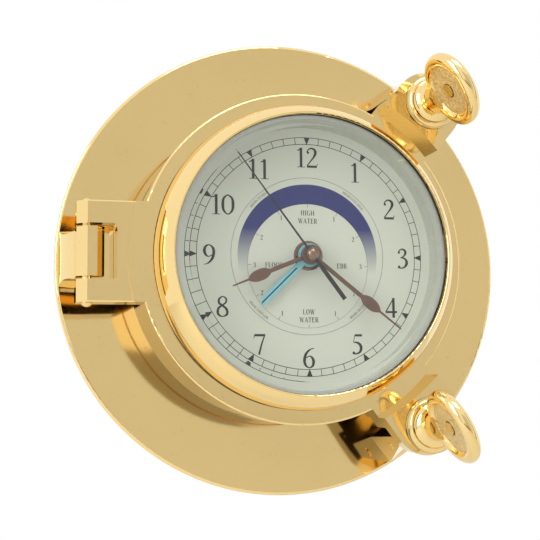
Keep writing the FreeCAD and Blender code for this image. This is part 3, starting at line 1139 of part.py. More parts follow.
def make_bush():
    """Threaded bush of the movement, its nut and the washers each side of the dial."""
    bore = "Size.tide_pipe_radius + Size.pipe_gap"
    label(turned("Bush", [
        (bore, "Size.case_front_depth - Size.case_wall"),
        ("Size.bush_radius", "Size.case_front_depth - Size.case_wall"),
        ("Size.bush_radius", "Size.bush_front_depth"),
        (bore, "Size.bush_front_depth")]), "centre_bush")
    hole = "Size.bush_radius + " + FIT
    label(turned("RubberWasher", [
        (hole, "Size.case_front_depth"), ("Size.rubber_washer_radius", "Size.case_front_depth"),
        ("Size.rubber_washer_radius", DIAL_BACK_DEPTH), (hole, DIAL_BACK_DEPTH)]), "rubber_washer")
    washer_top = "Size.dial_front_depth + Size.bush_washer_thickness"
    label(turned("BushWasher", [
        (hole, "Size.dial_front_depth"), ("Size.bush_washer_radius", "Size.dial_front_depth"),
        ("Size.bush_washer_radius", washer_top), (hole, washer_top)]), "bush_washer")
    nut = doc.addObject("Part::Prism", "BushNutBlank")
    nut.Polygon = 6
    nut.setExpression("Circumradius", "Size.bush_nut_radius")
    nut.setExpression("Height", "Size.bush_nut_thickness")
    put(nut, "0", washer_top, "0", rotation=UP_AXIS)
    thread = cylinder("BushNutThread", hole, "Size.bush_nut_thickness + 2 * " + OVER, "0",
                      washer_top + " - " + OVER, "0")
    label(cut("BushNut", nut, thread), "bush_nut")


# Movement case and what lies in it

INNER_HALF = "(Size.case_half_width - Size.case_wall)"


def half_case(name, back, front, floor_low, floor_high):
    """Open square tray between two depths, its floor between two other depths left whole."""
    half = "Size.case_half_width"
    outer = block(name + "Outer", ("-" + half, front, "-" + half), (half, back, half))
    hollow = block(name + "Hollow", ("-" + INNER_HALF, floor_high, "-" + INNER_HALF),
                   (INNER_HALF, floor_low, INNER_HALF))
    return outer, hollow


def wheel_seats():
    """Places of the arbors off the centre, as x and z."""
    reach = "(Size.wheel_radius + Size.pipe_pinion_radius + Size.wheel_gap)"
    return {"step": polar(reach, "Size.step_wheel_angle"), "third": polar(reach, "Size.third_wheel_angle"),
            "motion": polar(reach, "Size.motion_wheel_angle"),
            "transfer": polar(reach, "Size.tide_transfer_angle")}


def make_case():
    front_outer, front_hollow = half_case(
        "FrontCase", "Size.case_split_depth", "Size.case_front_depth",
        "Size.case_split_depth - " + OVER, "Size.case_front_depth - Size.case_wall")
    centre = cylinder("FrontCaseHole", "Size.bush_radius + " + FIT, "Size.case_wall + 2 * " + OVER, "0",
                      "Size.case_front_depth - Size.case_wall - " + OVER, "0")
    label(cut("FrontCase", front_outer, fuse("FrontCaseTools", [front_hollow, centre])),
          "movement_front_case")
    back_outer, back_hollow = half_case(
        "BackCase", "Size.case_back_depth", "Size.case_split_depth",
        "Size.case_back_depth + Size.case_wall", "Size.case_split_depth + " + OVER)
    half_length = "(Size.cell_length / 2 + Size.cell_clearance)"
    half_height = "(Size.cell_radius + Size.cell_clearance)"
    bay = block("CellBay", ("-" + half_length, "Size.case_split_depth", "-Size.cell_drop - " + half_height),
                (half_length, "Size.case_back_depth - " + OVER, "-Size.cell_drop + " + half_height))
    seats = wheel_seats()
    holes = [cylinder("KnobHole" + name, "Size.arbor_radius + Size.hidden_fit",
                      "Size.case_wall + 2 * " + OVER,
                      seats[name][0], "Size.case_back_depth - " + OVER, seats[name][1])
             for name in ("motion", "transfer")]
    label(cut("BackCase", back_outer, fuse("BackCaseTools", [back_hollow, bay] + holes)),
          "movement_back_case")


def make_cell():
    start = "-Size.cell_length / 2"
    can = cylinder("CellCan", "Size.cell_radius", "Size.cell_length", start, "Size.cell_depth",
                   "-Size.cell_drop", "X")
    nub = cylinder("CellNub", "Size.cell_nub_radius", "Size.cell_length + Size.cell_nub_length", start,
                   "Size.cell_depth", "-Size.cell_drop", "X")
    label(fuse("Cell", [can, nub]), "battery_cell")
    # Each contact is a plate on the wall of the case with a stub that reaches the cell.
    contacts = []
    width = "Size.contact_half_width"
    plate_face = "(%s - Size.contact_thickness)" % INNER_HALF
    ends = (("-" + INNER_HALF, "-" + plate_face, "-" + plate_face, "Size.cell_length / 2"),
            (plate_face, INNER_HALF, "(Size.cell_length / 2 + Size.cell_nub_length + Size.hidden_fit)",
             "Size.cell_length / 2 + Size.cell_nub_length"))
    for index, (low, high, stub_start, cell_end) in enumerate(ends):
        plate = block("ContactPlate%d" % index,
                      (low, "Size.cell_depth + " + width, "-Size.cell_drop - " + width),
                      (high, "Size.cell_depth - " + width, "-Size.cell_drop + " + width))
        stub = cylinder("ContactStub%d" % index, width + " / 2",
                        "%s - (%s) - Size.hidden_fit" % (plate_face, cell_end),
                        stub_start, "Size.cell_depth", "-Size.cell_drop", "X")
        contacts.append(fuse("Contact%d" % index, [plate, stub]))
    label(group("Contacts", contacts), "battery_contacts")


def make_electrics():
    """Coil on its bobbin, stator plate and circuit board."""
    start = "-Size.coil_shift - Size.coil_length / 2"
    place = ("Size.coil_depth", "Size.coil_height", "X")
    cheek = "Size.coil_cheek_thickness"
    winding = cylinder("Winding", "Size.coil_radius", "Size.coil_length", start, *place)
    left = cylinder("LeftCheek", "Size.coil_cheek_radius", cheek, "%s - %s" % (start, cheek), *place)
    right = cylinder("RightCheek", "Size.coil_cheek_radius", cheek, "%s + Size.coil_length" % start, *place)
    label(fuse("Coil", [winding, left, right]), "drive_coil")
    core = cylinder("Core", "Size.coil_core_radius", "4 * %s" % cheek,
                    "%s + Size.coil_length + %s" % (start, cheek), *place)
    x, z = rotor_spot()
    back = rotor_depth()
    hole_radius = "(Size.rotor_radius + Size.stator_hole_gap)"
    side = "Size.stator_half_width"
    plate = block("StatorPlate",
                  ("%s - %s" % (x, side), "%s + Size.stator_thickness" % back, "%s - %s" % (z, side)),
                  ("%s + %s" % (x, side), back, "Size.coil_height + Size.coil_core_radius"))
    post = block("StatorPost",
                 ("%s - Size.coil_core_radius" % x, "Size.coil_depth + Size.coil_core_radius",
                  "Size.coil_height - Size.coil_core_radius"),
                 ("%s + Size.coil_core_radius" % x, back, "Size.coil_height + Size.coil_core_radius"))
    hole = cylinder("StatorHole", hole_radius, "Size.stator_thickness + 2 * " + OVER, x,
                    back + " - " + OVER, z)
    label(cut("Stator", fuse("StatorSolid", [plate, post, core]), hole), "stator")
    edge = "-%s + Size.board_inset" % INNER_HALF
    label(block("Board", (edge, "Size.board_depth + Size.board_thickness", "-Size.board_half_height / 2"),
                (edge + " + Size.board_width", "Size.board_depth", "Size.board_half_height * 3 / 2")),
          "circuit_board")


def rotor_spot():
    x, z = wheel_seats()["step"]
    rise = "Size.rotor_distance * %s(Size.step_wheel_angle)"
    return "(%s + %s)" % (x, rise % "cos"), "(%s + %s)" % (z, rise % "sin")


def layer(number):
    return "(Size.layer_first_depth + %d * Size.layer_step)" % number


def rotor_depth():
    """Rear face of the stator, half way along the rotor magnet."""
    rise = "Size.wheel_thickness + Size.wheel_gap + (Size.rotor_length - Size.stator_thickness) / 2"
    return "(%s + %s)" % (layer(0), rise)


def toothed_disc(tip, tooth, thickness, teeth):
    """Disc with plain trapezoid teeth; part of a tooth's pitch is flat, part is gap."""
    top_share, flank_share = 0.3, 0.2
    points = []
    for index in range(teeth):
        for share, radius in ((0, tip - tooth), (flank_share, tip), (flank_share + top_share, tip),
                              (2 * flank_share + top_share, tip - tooth)):
            angle = 2 * math.pi * (index + share) / teeth
            points.append(Vector(radius * math.cos(angle), 0, radius * math.sin(angle)))
    face = Part.Face(Part.makePolygon(points + points[:1]))
    return face.extrude(Vector(0, -thickness, 0))


WAY = Vector(0, -1, 0)


def rod(radius, back, front):
    return Part.makeCylinder(radius, front - back, Vector(0, -back, 0), WAY)


def toothed_piece(name, solids, bore, spot=("0", "0")):
    """Wheel, pinion and arbor in one solid; its sizes are read from the sheet."""
    shape = solids[0].fuse(solids[1:])
    if bore:
        low, high = -shape.BoundBox.YMax, -shape.BoundBox.YMin
        shape = shape.cut(rod(bore, low - amount("Size.overrun"), high + amount("Size.overrun")))
    item = doc.addObject("Part::Feature", "Wheel" + name)
    item.Shape = shape.removeSplitter()
    label(put(item, spot[0], "0", spot[1]), name)


def make_train():
    tip, tooth = amount("Size.wheel_radius"), amount("Size.wheel_tooth")
    thick, long = amount("Size.wheel_thickness"), amount("Size.pinion_length")
    small, gap = amount("Size.pinion_radius"), amount("Size.pipe_gap")
    depths = [amount(layer(number)) for number in range(8)]
    floor = amount("Size.case_back_depth + Size.case_wall + Size.hidden_fit")
    roof = amount("Size.case_front_depth - Size.case_wall - Size.hidden_fit")
    seats = wheel_seats()
    arbor = amount("Size.arbor_radius")

    def wheel(number, teeth):
        disc = toothed_disc(tip, tooth, thick, teeth)
        disc.translate(Vector(0, -depths[number], 0))
        return disc

    def off_centre(name, number, teeth, spot):
        """Wheel with its pinion in front of it, on an arbor between the two halves of the case."""
        start = depths[number] + thick
        toothed_piece(name, [wheel(number, teeth), rod(small, start, start + long), rod(arbor, floor, roof)],
                      0, seats[spot])

    def on_pipe(name, number, teeth, outer, inner, front):
        """Wheel on a pipe that runs out to its hand."""
        start = depths[number] + thick
        solids = [wheel(number, teeth), rod(amount("Size.pipe_pinion_radius") if number == 1 else outer,
                                            start, start + long), rod(outer, depths[number], front)]
        toothed_piece(name, solids, inner)

    second, minute = amount("Size.second_arbor_radius"), amount("Size.minute_pipe_radius")
    hour, tide = amount("Size.hour_pipe_radius"), amount("Size.tide_pipe_radius")
    boss = amount("2 * Size.hand_thickness")
    off_centre("step_wheel", 0, 36, "step")
    on_pipe("seconds_wheel", 1, 30, second, 0, amount("Size.second_hand_depth") + boss + thick)
    off_centre("third_wheel", 2, 36, "third")
    on_pipe("minute_wheel", 3, 32, minute, second + gap, amount("Size.minute_hand_depth") + boss)
    off_centre("motion_wheel", 4, 30, "motion")
    on_pipe("hour_wheel", 5, 34, hour, minute + gap, amount("Size.hour_hand_depth") + boss)
    off_centre("tide_transfer_wheel", 6, 28, "transfer")
    on_pipe("tide_wheel", 7, 38, tide, hour + gap, amount("Size.tide_hand_depth") + boss)
    make_rotor(arbor, small, floor, roof)
    make_knobs(arbor, floor)


def make_rotor(arbor, small, floor, roof):
    """Magnet disc on a fine arbor with the first pinion."""
    middle = amount(rotor_depth() + " + Size.stator_thickness / 2")
    half = amount("Size.rotor_length") / 2
    magnet = rod(amount("Size.rotor_radius"), middle - half, middle + half)
    pinion = rod(small, floor, middle - half)
    toothed_piece("rotor", [magnet, pinion, rod(arbor, floor, roof)], 0, rotor_spot())


def make_knobs(arbor, floor):
    """Ridged setting knobs behind the case, each on a short arbor."""
    seats = wheel_seats()
    front = amount("Size.case_back_depth - Size.knob_gap")
    length = amount("Size.knob_length")
    clearance = amount("Size.hidden_fit")
    for name, spot in (("time_set_knob", "motion"), ("tide_set_knob", "transfer")):
        grip = toothed_disc(amount("Size.knob_radius"), amount("Size.knob_ridge"), length, 24)
        grip.translate(Vector(0, length - front, 0))
        toothed_piece(name, [grip, rod(arbor, front, floor - clearance)], 0, seats[spot])


make_flange()
make_hanger()
make_barrel()
make_bracket()
make_hinge_pin()
make_door()
make_bezel()
make_glass()
make_dial()
make_cover()
for place in LUG_ANGLES:
    make_fork(place)
    make_fork_pin(place)
    make_bolt(place)
    make_washer(place)
    make_eye_nut(place)
label(group("ForkScrews", [countersunk("ForkScrew%d" % index, x, z)
                           for index, (x, z) in enumerate(FORK_SPOTS)]),
      "fork_screws")
make_hands()
make_bush()
make_case()
make_cell()
make_electrics()
make_train()

doc.recompute()
for item in doc.Objects:
    if "Invalid" in item.State or "Error" in item.State:
        raise RuntimeError("%s (%s) did not build" % (item.Name, item.Label))
for item in SUB_PARTS:
    if item.Shape.isNull() or not item.Shape.isValid():
        raise RuntimeError("%s has no valid shape" % item.Label)
os.makedirs("parts", exist_ok=True)
for item in SUB_PARTS:
    item.Shape.exportStep("parts/%s.step" % item.Label)
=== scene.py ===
"""Looks of the porthole tide clock: polished brass, printed dial, painted hands and bevelled glass.

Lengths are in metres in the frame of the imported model: the dial faces -Y and +Z is up.
"""

import math

import bpy
from bpy.props import FloatProperty, FloatVectorProperty, PointerProperty
from mathutils import Matrix, Vector


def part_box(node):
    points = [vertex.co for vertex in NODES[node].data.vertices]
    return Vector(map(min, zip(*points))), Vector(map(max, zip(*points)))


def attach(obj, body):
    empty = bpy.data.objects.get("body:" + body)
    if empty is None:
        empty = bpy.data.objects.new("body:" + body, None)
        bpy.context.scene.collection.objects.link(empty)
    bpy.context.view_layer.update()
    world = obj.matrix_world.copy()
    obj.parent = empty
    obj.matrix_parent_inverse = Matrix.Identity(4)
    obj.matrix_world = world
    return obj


bl_info = {
    "name": "Porthole tide clock",
    "version": (1, 0, 0),
    "blender": (4, 5, 0),
    "location": "3D View > Sidebar > Tide clock",
    "description": "Materials, dial print and studio for the porthole tide clock",
    "category": "Object",
}

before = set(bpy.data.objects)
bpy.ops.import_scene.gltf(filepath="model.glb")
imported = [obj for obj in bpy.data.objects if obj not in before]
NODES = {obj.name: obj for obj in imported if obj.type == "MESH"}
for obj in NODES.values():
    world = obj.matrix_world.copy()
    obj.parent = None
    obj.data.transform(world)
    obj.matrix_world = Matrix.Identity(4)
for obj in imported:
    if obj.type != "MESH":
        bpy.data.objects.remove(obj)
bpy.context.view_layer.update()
MM = 0.001


def reach(node, axis, side):
    """One face of a node's box: axis 0 to 2, side 0 for the low one and 1 for the high one."""
    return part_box(node)[side][axis]


DIAL_FRONT = reach("dial", 1, 0)


# Shader maths


class Value:
    """A socket of a node tree that takes the usual operators."""

    def __init__(self, graph, socket):
        self.graph = graph
        self.socket = socket

    def __add__(self, other):
        return self.graph.maths("ADD", self, other)

    def __sub__(self, other):
        return self.graph.maths("SUBTRACT", self, other)

    def __mul__(self, other):
        return self.graph.maths("MULTIPLY", self, other)

    def __truediv__(self, other):
        return self.graph.maths("DIVIDE", self, other)

    def __radd__(self, other):
        return self.graph.maths("ADD", other, self)

    def __rsub__(self, other):
        return self.graph.maths("SUBTRACT", other, self)

    def __rmul__(self, other):
        return self.graph.maths("MULTIPLY", other, self)

    def __rtruediv__(self, other):
        return self.graph.maths("DIVIDE", other, self)

    def __pow__(self, other):
        return self.graph.maths("POWER", self, other)

    def above(self, level, soft):
        """0 below a level and 1 above it, with a soft step between."""
        return self.graph.maths("MULTIPLY_ADD", self, 1 / soft, 0.5 - level / soft, clamp=True)

    def clamped(self):
        return self.graph.maths("ADD", self, 0, clamp=True)


class Graph:
    """Node tree of one new material."""

    def __init__(self, name):
        self.material = bpy.data.materials.new(name)
        self.material.use_nodes = True
        self.tree = self.material.node_tree
        self.tree.nodes.clear()
        self.output = self.tree.nodes.new("ShaderNodeOutputMaterial")

    def link(self, source, socket):
        if isinstance(source, Value):
            self.tree.links.new(source.socket, socket)
        else:
            socket.default_value = source

    def node(self, kind, settings=None, **inputs):
        """A node of a kind, its settings first, then its inputs by name."""
        item = self.tree.nodes.new(kind)
        for key, setting in (settings or {}).items():
            setattr(item, key, setting)
        for key, source in inputs.items():
            name = key.replace("_", " ")
            socket = next(one for one in item.inputs if one.enabled and one.name == name)
            self.link(source, socket)
        return item

    def maths(self, operation, *operands, clamp=False):
        item = self.node("ShaderNodeMath", {"operation": operation, "use_clamp": clamp})
        for socket, source in zip(item.inputs, operands):
            self.link(source, socket)
        return Value(self, item.outputs[0])

    def place(self):
        """Place on the object, as a vector."""
        return Value(self, self.node("ShaderNodeTexCoord").outputs["Object"])

    def parts(self, vector):
        """The three parts of a vector."""
        item = self.node("ShaderNodeSeparateXYZ", Vector=vector)
        return [Value(self, socket) for socket in item.outputs]

    def joined(self, x, y, z):
        return Value(self, self.node("ShaderNodeCombineXYZ", X=x, Y=y, Z=z).outputs[0])

    def noise(self, scale, detail=3.0, roughness=0.5, vector=None):
        item = self.node("ShaderNodeTexNoise", Vector=vector or self.place(), Scale=scale, Detail=detail,
                         Roughness=roughness)
        return Value(self, item.outputs["Fac"])

    def mix(self, factor, first, second):
        item = self.node("ShaderNodeMix", {"data_type": "RGBA"}, Factor=factor, A=first, B=second)
        return Value(self, next(one for one in item.outputs if one.enabled))

    def bump(self, height, strength, distance):
        item = self.node("ShaderNodeBump", Height=height, Strength=strength, Distance=distance)
        return Value(self, item.outputs[0])

    def principled(self, **inputs):
        return Value(self, self.node("ShaderNodeBsdfPrincipled", **inputs).outputs[0])

    def finish(self, shader):
        self.link(shader, self.output.inputs["Surface"])
        return self.material


def colour(red, green, blue):
    """A display colour, 0 to 255, as the linear colour a shader takes."""
    parts = [level / 255 for level in (red, green, blue)]
    return tuple(part / 12.92 if part <= 0.04045 else ((part + 0.055) / 1.055) ** 2.4
                 for part in parts) + (1,)


def shade(tone, share):
    """The same colour, lighter or darker."""
    return tuple(part * share for part in tone[:3]) + (1,)


def dress(nodes, material):
    for name in nodes:
        NODES[name].data.materials.clear()
        NODES[name].data.materials.append(material)


# Brass

POLISHED = ["flange", "case_barrel", "hinge_bracket", "upper_fork", "lower_fork", "door_ring", "bezel"]
FITTINGS = ["hinge_pin", "upper_fork_pin", "lower_fork_pin", "upper_swing_bolt", "lower_swing_bolt",
            "upper_foot_washer", "lower_foot_washer"]
SCREWS = ["barrel_screws", "bracket_screws", "fork_screws", "bezel_screws"]
EYE_TURNS = {"upper": math.radians(31), "lower": math.radians(27)}
EYE_RISE, WEB_RADIUS = 0.5 * MM, 11.5 * MM


def brass_surface(graph, tone, roughness, scratch=0.12):
    """Base colour, roughness and normal of lacquered, polished brass with fine wear."""
    cloud = graph.noise(14.0, 4.0, 0.6)
    grain = graph.noise(900.0, 2.0, 0.5)
    x, y, z = graph.parts(graph.place())
    drawn = graph.noise(1.0, 3.0, 0.6, graph.joined(x * 2200.0, y * 2200.0, z * 260.0))
    speck = graph.noise(520.0, 1.0, 0.4).above(0.74, 0.04)
    base = graph.mix(cloud.above(0.5, 0.5), shade(tone, 0.96), shade(tone, 1.02))
    base = graph.mix(speck * 0.2, base, shade(tone, 0.6))
    rough = cloud * 0.03 + grain * 0.02 + drawn * 0.02 + speck * 0.08 + (roughness - 0.035)
    height = grain * 0.35 + drawn * 0.65
    return base, rough, graph.bump(height, scratch, 0.00001)


def make_brass(name, tone, roughness, scratch=0.12):
    graph = Graph(name)
    base, rough, normal = brass_surface(graph, tone, roughness, scratch)
    return graph.finish(graph.principled(Base_Color=base, Roughness=rough, Metallic=1.0, Normal=normal))


def make_eye_brass(name, node, turn, tone, roughness):
    """Brass with a rough-cast recess in the eye, whose normal stands at the angle turn above +X."""
    low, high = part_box(node)
    centre = [(one + two) / 2 for one, two in zip(low, high)]
    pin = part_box(node.replace("eye_nut", "nut_pin"))
    eye_depth = (pin[0][1] + pin[1][1]) / 2 - EYE_RISE
    graph = Graph(name)
    base, rough, normal = brass_surface(graph, tone, roughness)
    x, y, z = graph.parts(graph.place())
    along = (z - centre[2]) * math.cos(turn) - (x - centre[0]) * math.sin(turn)
    across = (x - centre[0]) * math.cos(turn) + (z - centre[2]) * math.sin(turn)
    spread = (along * along + (y - eye_depth) * (y - eye_depth)) ** 0.5
    web = ((1.0 - spread.above(WEB_RADIUS, 0.0006))
           * (1.0 - graph.maths("ABSOLUTE", across).above(0.0021, 0.0004)))
    pits = graph.noise(700.0, 4.0, 0.65)
    cast_tone = graph.mix(pits.above(0.5, 0.3), shade(tone, 0.55), shade(tone, 0.9))
    base = graph.mix(web, base, cast_tone)
    rough = rough + web * 0.3
    item = graph.node("ShaderNodeBump", Height=pits * web, Strength=0.9, Distance=0.0006, Normal=normal)
    return graph.finish(graph.principled(Base_Color=base, Roughness=rough, Metallic=1.0 - web * 0.6,
                                         Normal=Value(graph, item.outputs[0])))


class BrassSettings(bpy.types.PropertyGroup):
    tone: FloatVectorProperty(name="Brass", description="Colour of the polished brass", subtype="COLOR",
                              size=3, min=0, max=1, default=colour(251, 221, 154)[:3])
    roughness: FloatProperty(name="Roughness", description="Roughness of the polish", default=0.07,
                             min=0, max=1)


class CLOCK_OT_brass(bpy.types.Operator):
    """Polished brass for the case, the door and the fittings"""

    bl_idname = "clock.brass"
    bl_label = "Polish the brass"

    def execute(self, context):
        settings = context.scene.clock_brass
        tone = tuple(settings.tone) + (1,)
        dress(POLISHED, make_brass("polished_brass", tone, settings.roughness))
        dress(FITTINGS, make_brass("fitting_brass", shade(tone, 0.97), settings.roughness + 0.02))
        dress(SCREWS, make_brass("screw_brass", shade(tone, 0.9), settings.roughness + 0.15, 0.5))
        for place, turn in EYE_TURNS.items():
            node = place + "_eye_nut"
            dress([node], make_eye_brass("eye_brass_" + place, node, turn, shade(tone, 0.98),
                                         settings.roughness))
            dress([place + "_nut_pin"], make_brass("pin_brass_" + place, shade(tone, 0.8),
                                                   settings.roughness + 0.15, 0.5))
        return {"FINISHED"}


# Movement and hidden pieces


def make_plain(name, tone, roughness, metallic=0.0, grain=260.0, depth=0.00003):
    """Moulded, painted or rolled surface: a soft cloud in the colour and a fine grain."""
    graph = Graph(name)
    cloud = graph.noise(60.0, 3.0, 0.55)
    fine = graph.noise(grain * 6, 3.0, 0.6)
    base = graph.mix(cloud.above(0.5, 0.6), shade(tone, 0.88), shade(tone, 1.1))
    rough = fine * 0.16 + cloud * 0.08 + (roughness - 0.12)
    return graph.finish(graph.principled(Base_Color=base, Roughness=rough, Metallic=metallic,
                                         Normal=graph.bump(fine, 0.4, depth)))


def make_copper():
    """Enamelled wire: fine turns along X."""
    graph = Graph("coil_copper")
    x, y, z = graph.parts(graph.place())
    turns = graph.maths("SINE", x * (2 * math.pi / 0.00022))
    base = graph.mix(turns * 0.5 + 0.5, colour(110, 48, 22), colour(196, 104, 58))
    return graph.finish(graph.principled(Base_Color=base, Roughness=0.35, Metallic=0.7,
                                         Normal=graph.bump(turns, 0.5, 0.00005)))


def make_board():
    """Lacquered board with pale tracks."""
    graph = Graph("board_green")
    x, y, z = graph.parts(graph.place())
    track = graph.maths("SINE", x * 5200.0 + graph.noise(150.0, 1.0) * 9.0).above(0.72, 0.2)
    base = graph.mix(track, colour(20, 84, 44), colour(96, 150, 88))
    return graph.finish(graph.principled(Base_Color=base, Roughness=0.35 + track * 0.1,
                                         Normal=graph.bump(track, 0.3, 0.00003)))


def make_cell():
    """Sleeve of the cell: dark, with one paler band."""
    graph = Graph("cell_wrap")
    x, y, z = graph.parts(graph.place())
    band = x.above(0.012, 0.0004)
    end = graph.maths("ABSOLUTE", x - 0.0006).above(0.0236, 0.0002)
    scuff = graph.noise(220.0, 4.0, 0.6)
    base = graph.mix(band, colour(44, 46, 50), colour(176, 140, 66))
    base = graph.mix(end, base, colour(190, 190, 188))
    return graph.finish(graph.principled(Base_Color=base, Roughness=0.3 + scuff * 0.15,
                                         Metallic=(end + band * 0.6).clamped()))


HIDDEN = {
    "case_black": (("movement_front_case", "movement_back_case"), (34, 34, 36), 0.5, 0.0),
    "cover_black": (("rear_cover",), (40, 40, 41), 0.55, 0.0),
    "spacer_grey": (("spacer_ring",), (92, 92, 92), 0.55, 0.0),
    "knob_black": (("time_set_knob", "tide_set_knob"), (28, 28, 29), 0.45, 0.0),
    "gasket_rubber": (("glass_gasket", "rubber_washer"), (30, 30, 30), 0.7, 0.0),
    "wheel_white": (("step_wheel", "seconds_wheel", "third_wheel", "minute_wheel", "motion_wheel",
                     "hour_wheel", "tide_transfer_wheel", "tide_wheel"), (214, 212, 202), 0.4, 0.0),
    "magnet_grey": (("rotor",), (84, 84, 86), 0.4, 0.8),
    "stator_iron": (("stator",), (150, 150, 148), 0.35, 0.9),
    "contact_steel": (("battery_contacts",), (196, 194, 188), 0.25, 1.0),
    "hanger_steel": (("wall_hanger", "hanger_screws", "cover_screws"), (176, 176, 172), 0.32, 1.0),
    "bush_bronze": (("centre_bush", "bush_nut", "bush_washer", "centre_cap"), (150, 122, 102), 0.25, 0.9),
}


class CLOCK_OT_movement(bpy.types.Operator):
    """Plastics, steels and rubber of the movement and of the rear of the door"""

    bl_idname = "clock.movement"
    bl_label = "Finish the movement"

    def execute(self, context):
        for name, (nodes, tone, roughness, metallic) in HIDDEN.items():
            dress(nodes, make_plain(name, colour(*tone), roughness, metallic))
        dress(["drive_coil"], make_copper())
        dress(["circuit_board"], make_board())
        dress(["battery_cell"], make_cell())
        return {"FINISHED"}


# Hands


def make_hand_paint(name, tone, roughness):
    return make_plain(name, tone, roughness, 0.0, 500.0, 0.00001)


def make_tide_paint(tone, line):
    """Pale blue with a dark line along the middle of the hand."""
    graph = Graph("hand_blue")
    x, y, z = graph.parts(graph.place())
    hand = NODES["tide_hand"].data
    tip = max((spot.co for spot in hand.vertices), key=lambda spot: spot.x ** 2 + spot.z ** 2)
    turn = TIDE_TURN
    across = graph.maths("ABSOLUTE", x * math.cos(turn) + z * math.sin(turn))
    along = (tip.x * x + tip.z * z) / tip.length
    stripe = (1.0 - across.above(0.00032, 0.00006)) * along.above(0.0045, 0.0002)
    wear = graph.noise(300.0, 3.0, 0.6)
    base = graph.mix(wear.above(0.5, 0.5), shade(tone, 0.94), shade(tone, 1.04))
    base = graph.mix(stripe, base, line)
    return graph.finish(graph.principled(Base_Color=base, Roughness=0.32 + wear * 0.12,
                                         Normal=graph.bump(wear, 0.2, 0.00001)))


TIDE_TURN = math.radians(-225.8)


class HandSettings(bpy.types.PropertyGroup):
    dark: FloatVectorProperty(name="Second hand", description="Colour of the second hand", subtype="COLOR",
                              size=3, min=0, max=1, default=colour(22, 22, 24)[:3])
    brown: FloatVectorProperty(name="Hour and minute hands", description="Colour of both hands",
                               subtype="COLOR", size=3, min=0, max=1, default=colour(104, 74, 58)[:3])
    blue: FloatVectorProperty(name="Tide hand", description="Colour of the tide hand", subtype="COLOR",
                              size=3, min=0, max=1, default=colour(124, 198, 212)[:3])


class CLOCK_OT_hands(bpy.types.Operator):
    """Painted hands"""

    bl_idname = "clock.hands"
    bl_label = "Paint the hands"

    def execute(self, context):
        settings = context.scene.clock_hands
        dress(["second_hand"], make_hand_paint("hand_black", tuple(settings.dark) + (1,), 0.35))
        dress(["minute_hand", "hour_hand"],
              make_hand_paint("hand_brown", tuple(settings.brown) + (1,), 0.35))
        dress(["tide_hand"], make_tide_paint(tuple(settings.blue) + (1,), colour(20, 30, 36)))
        return {"FINISHED"}


# Dial print

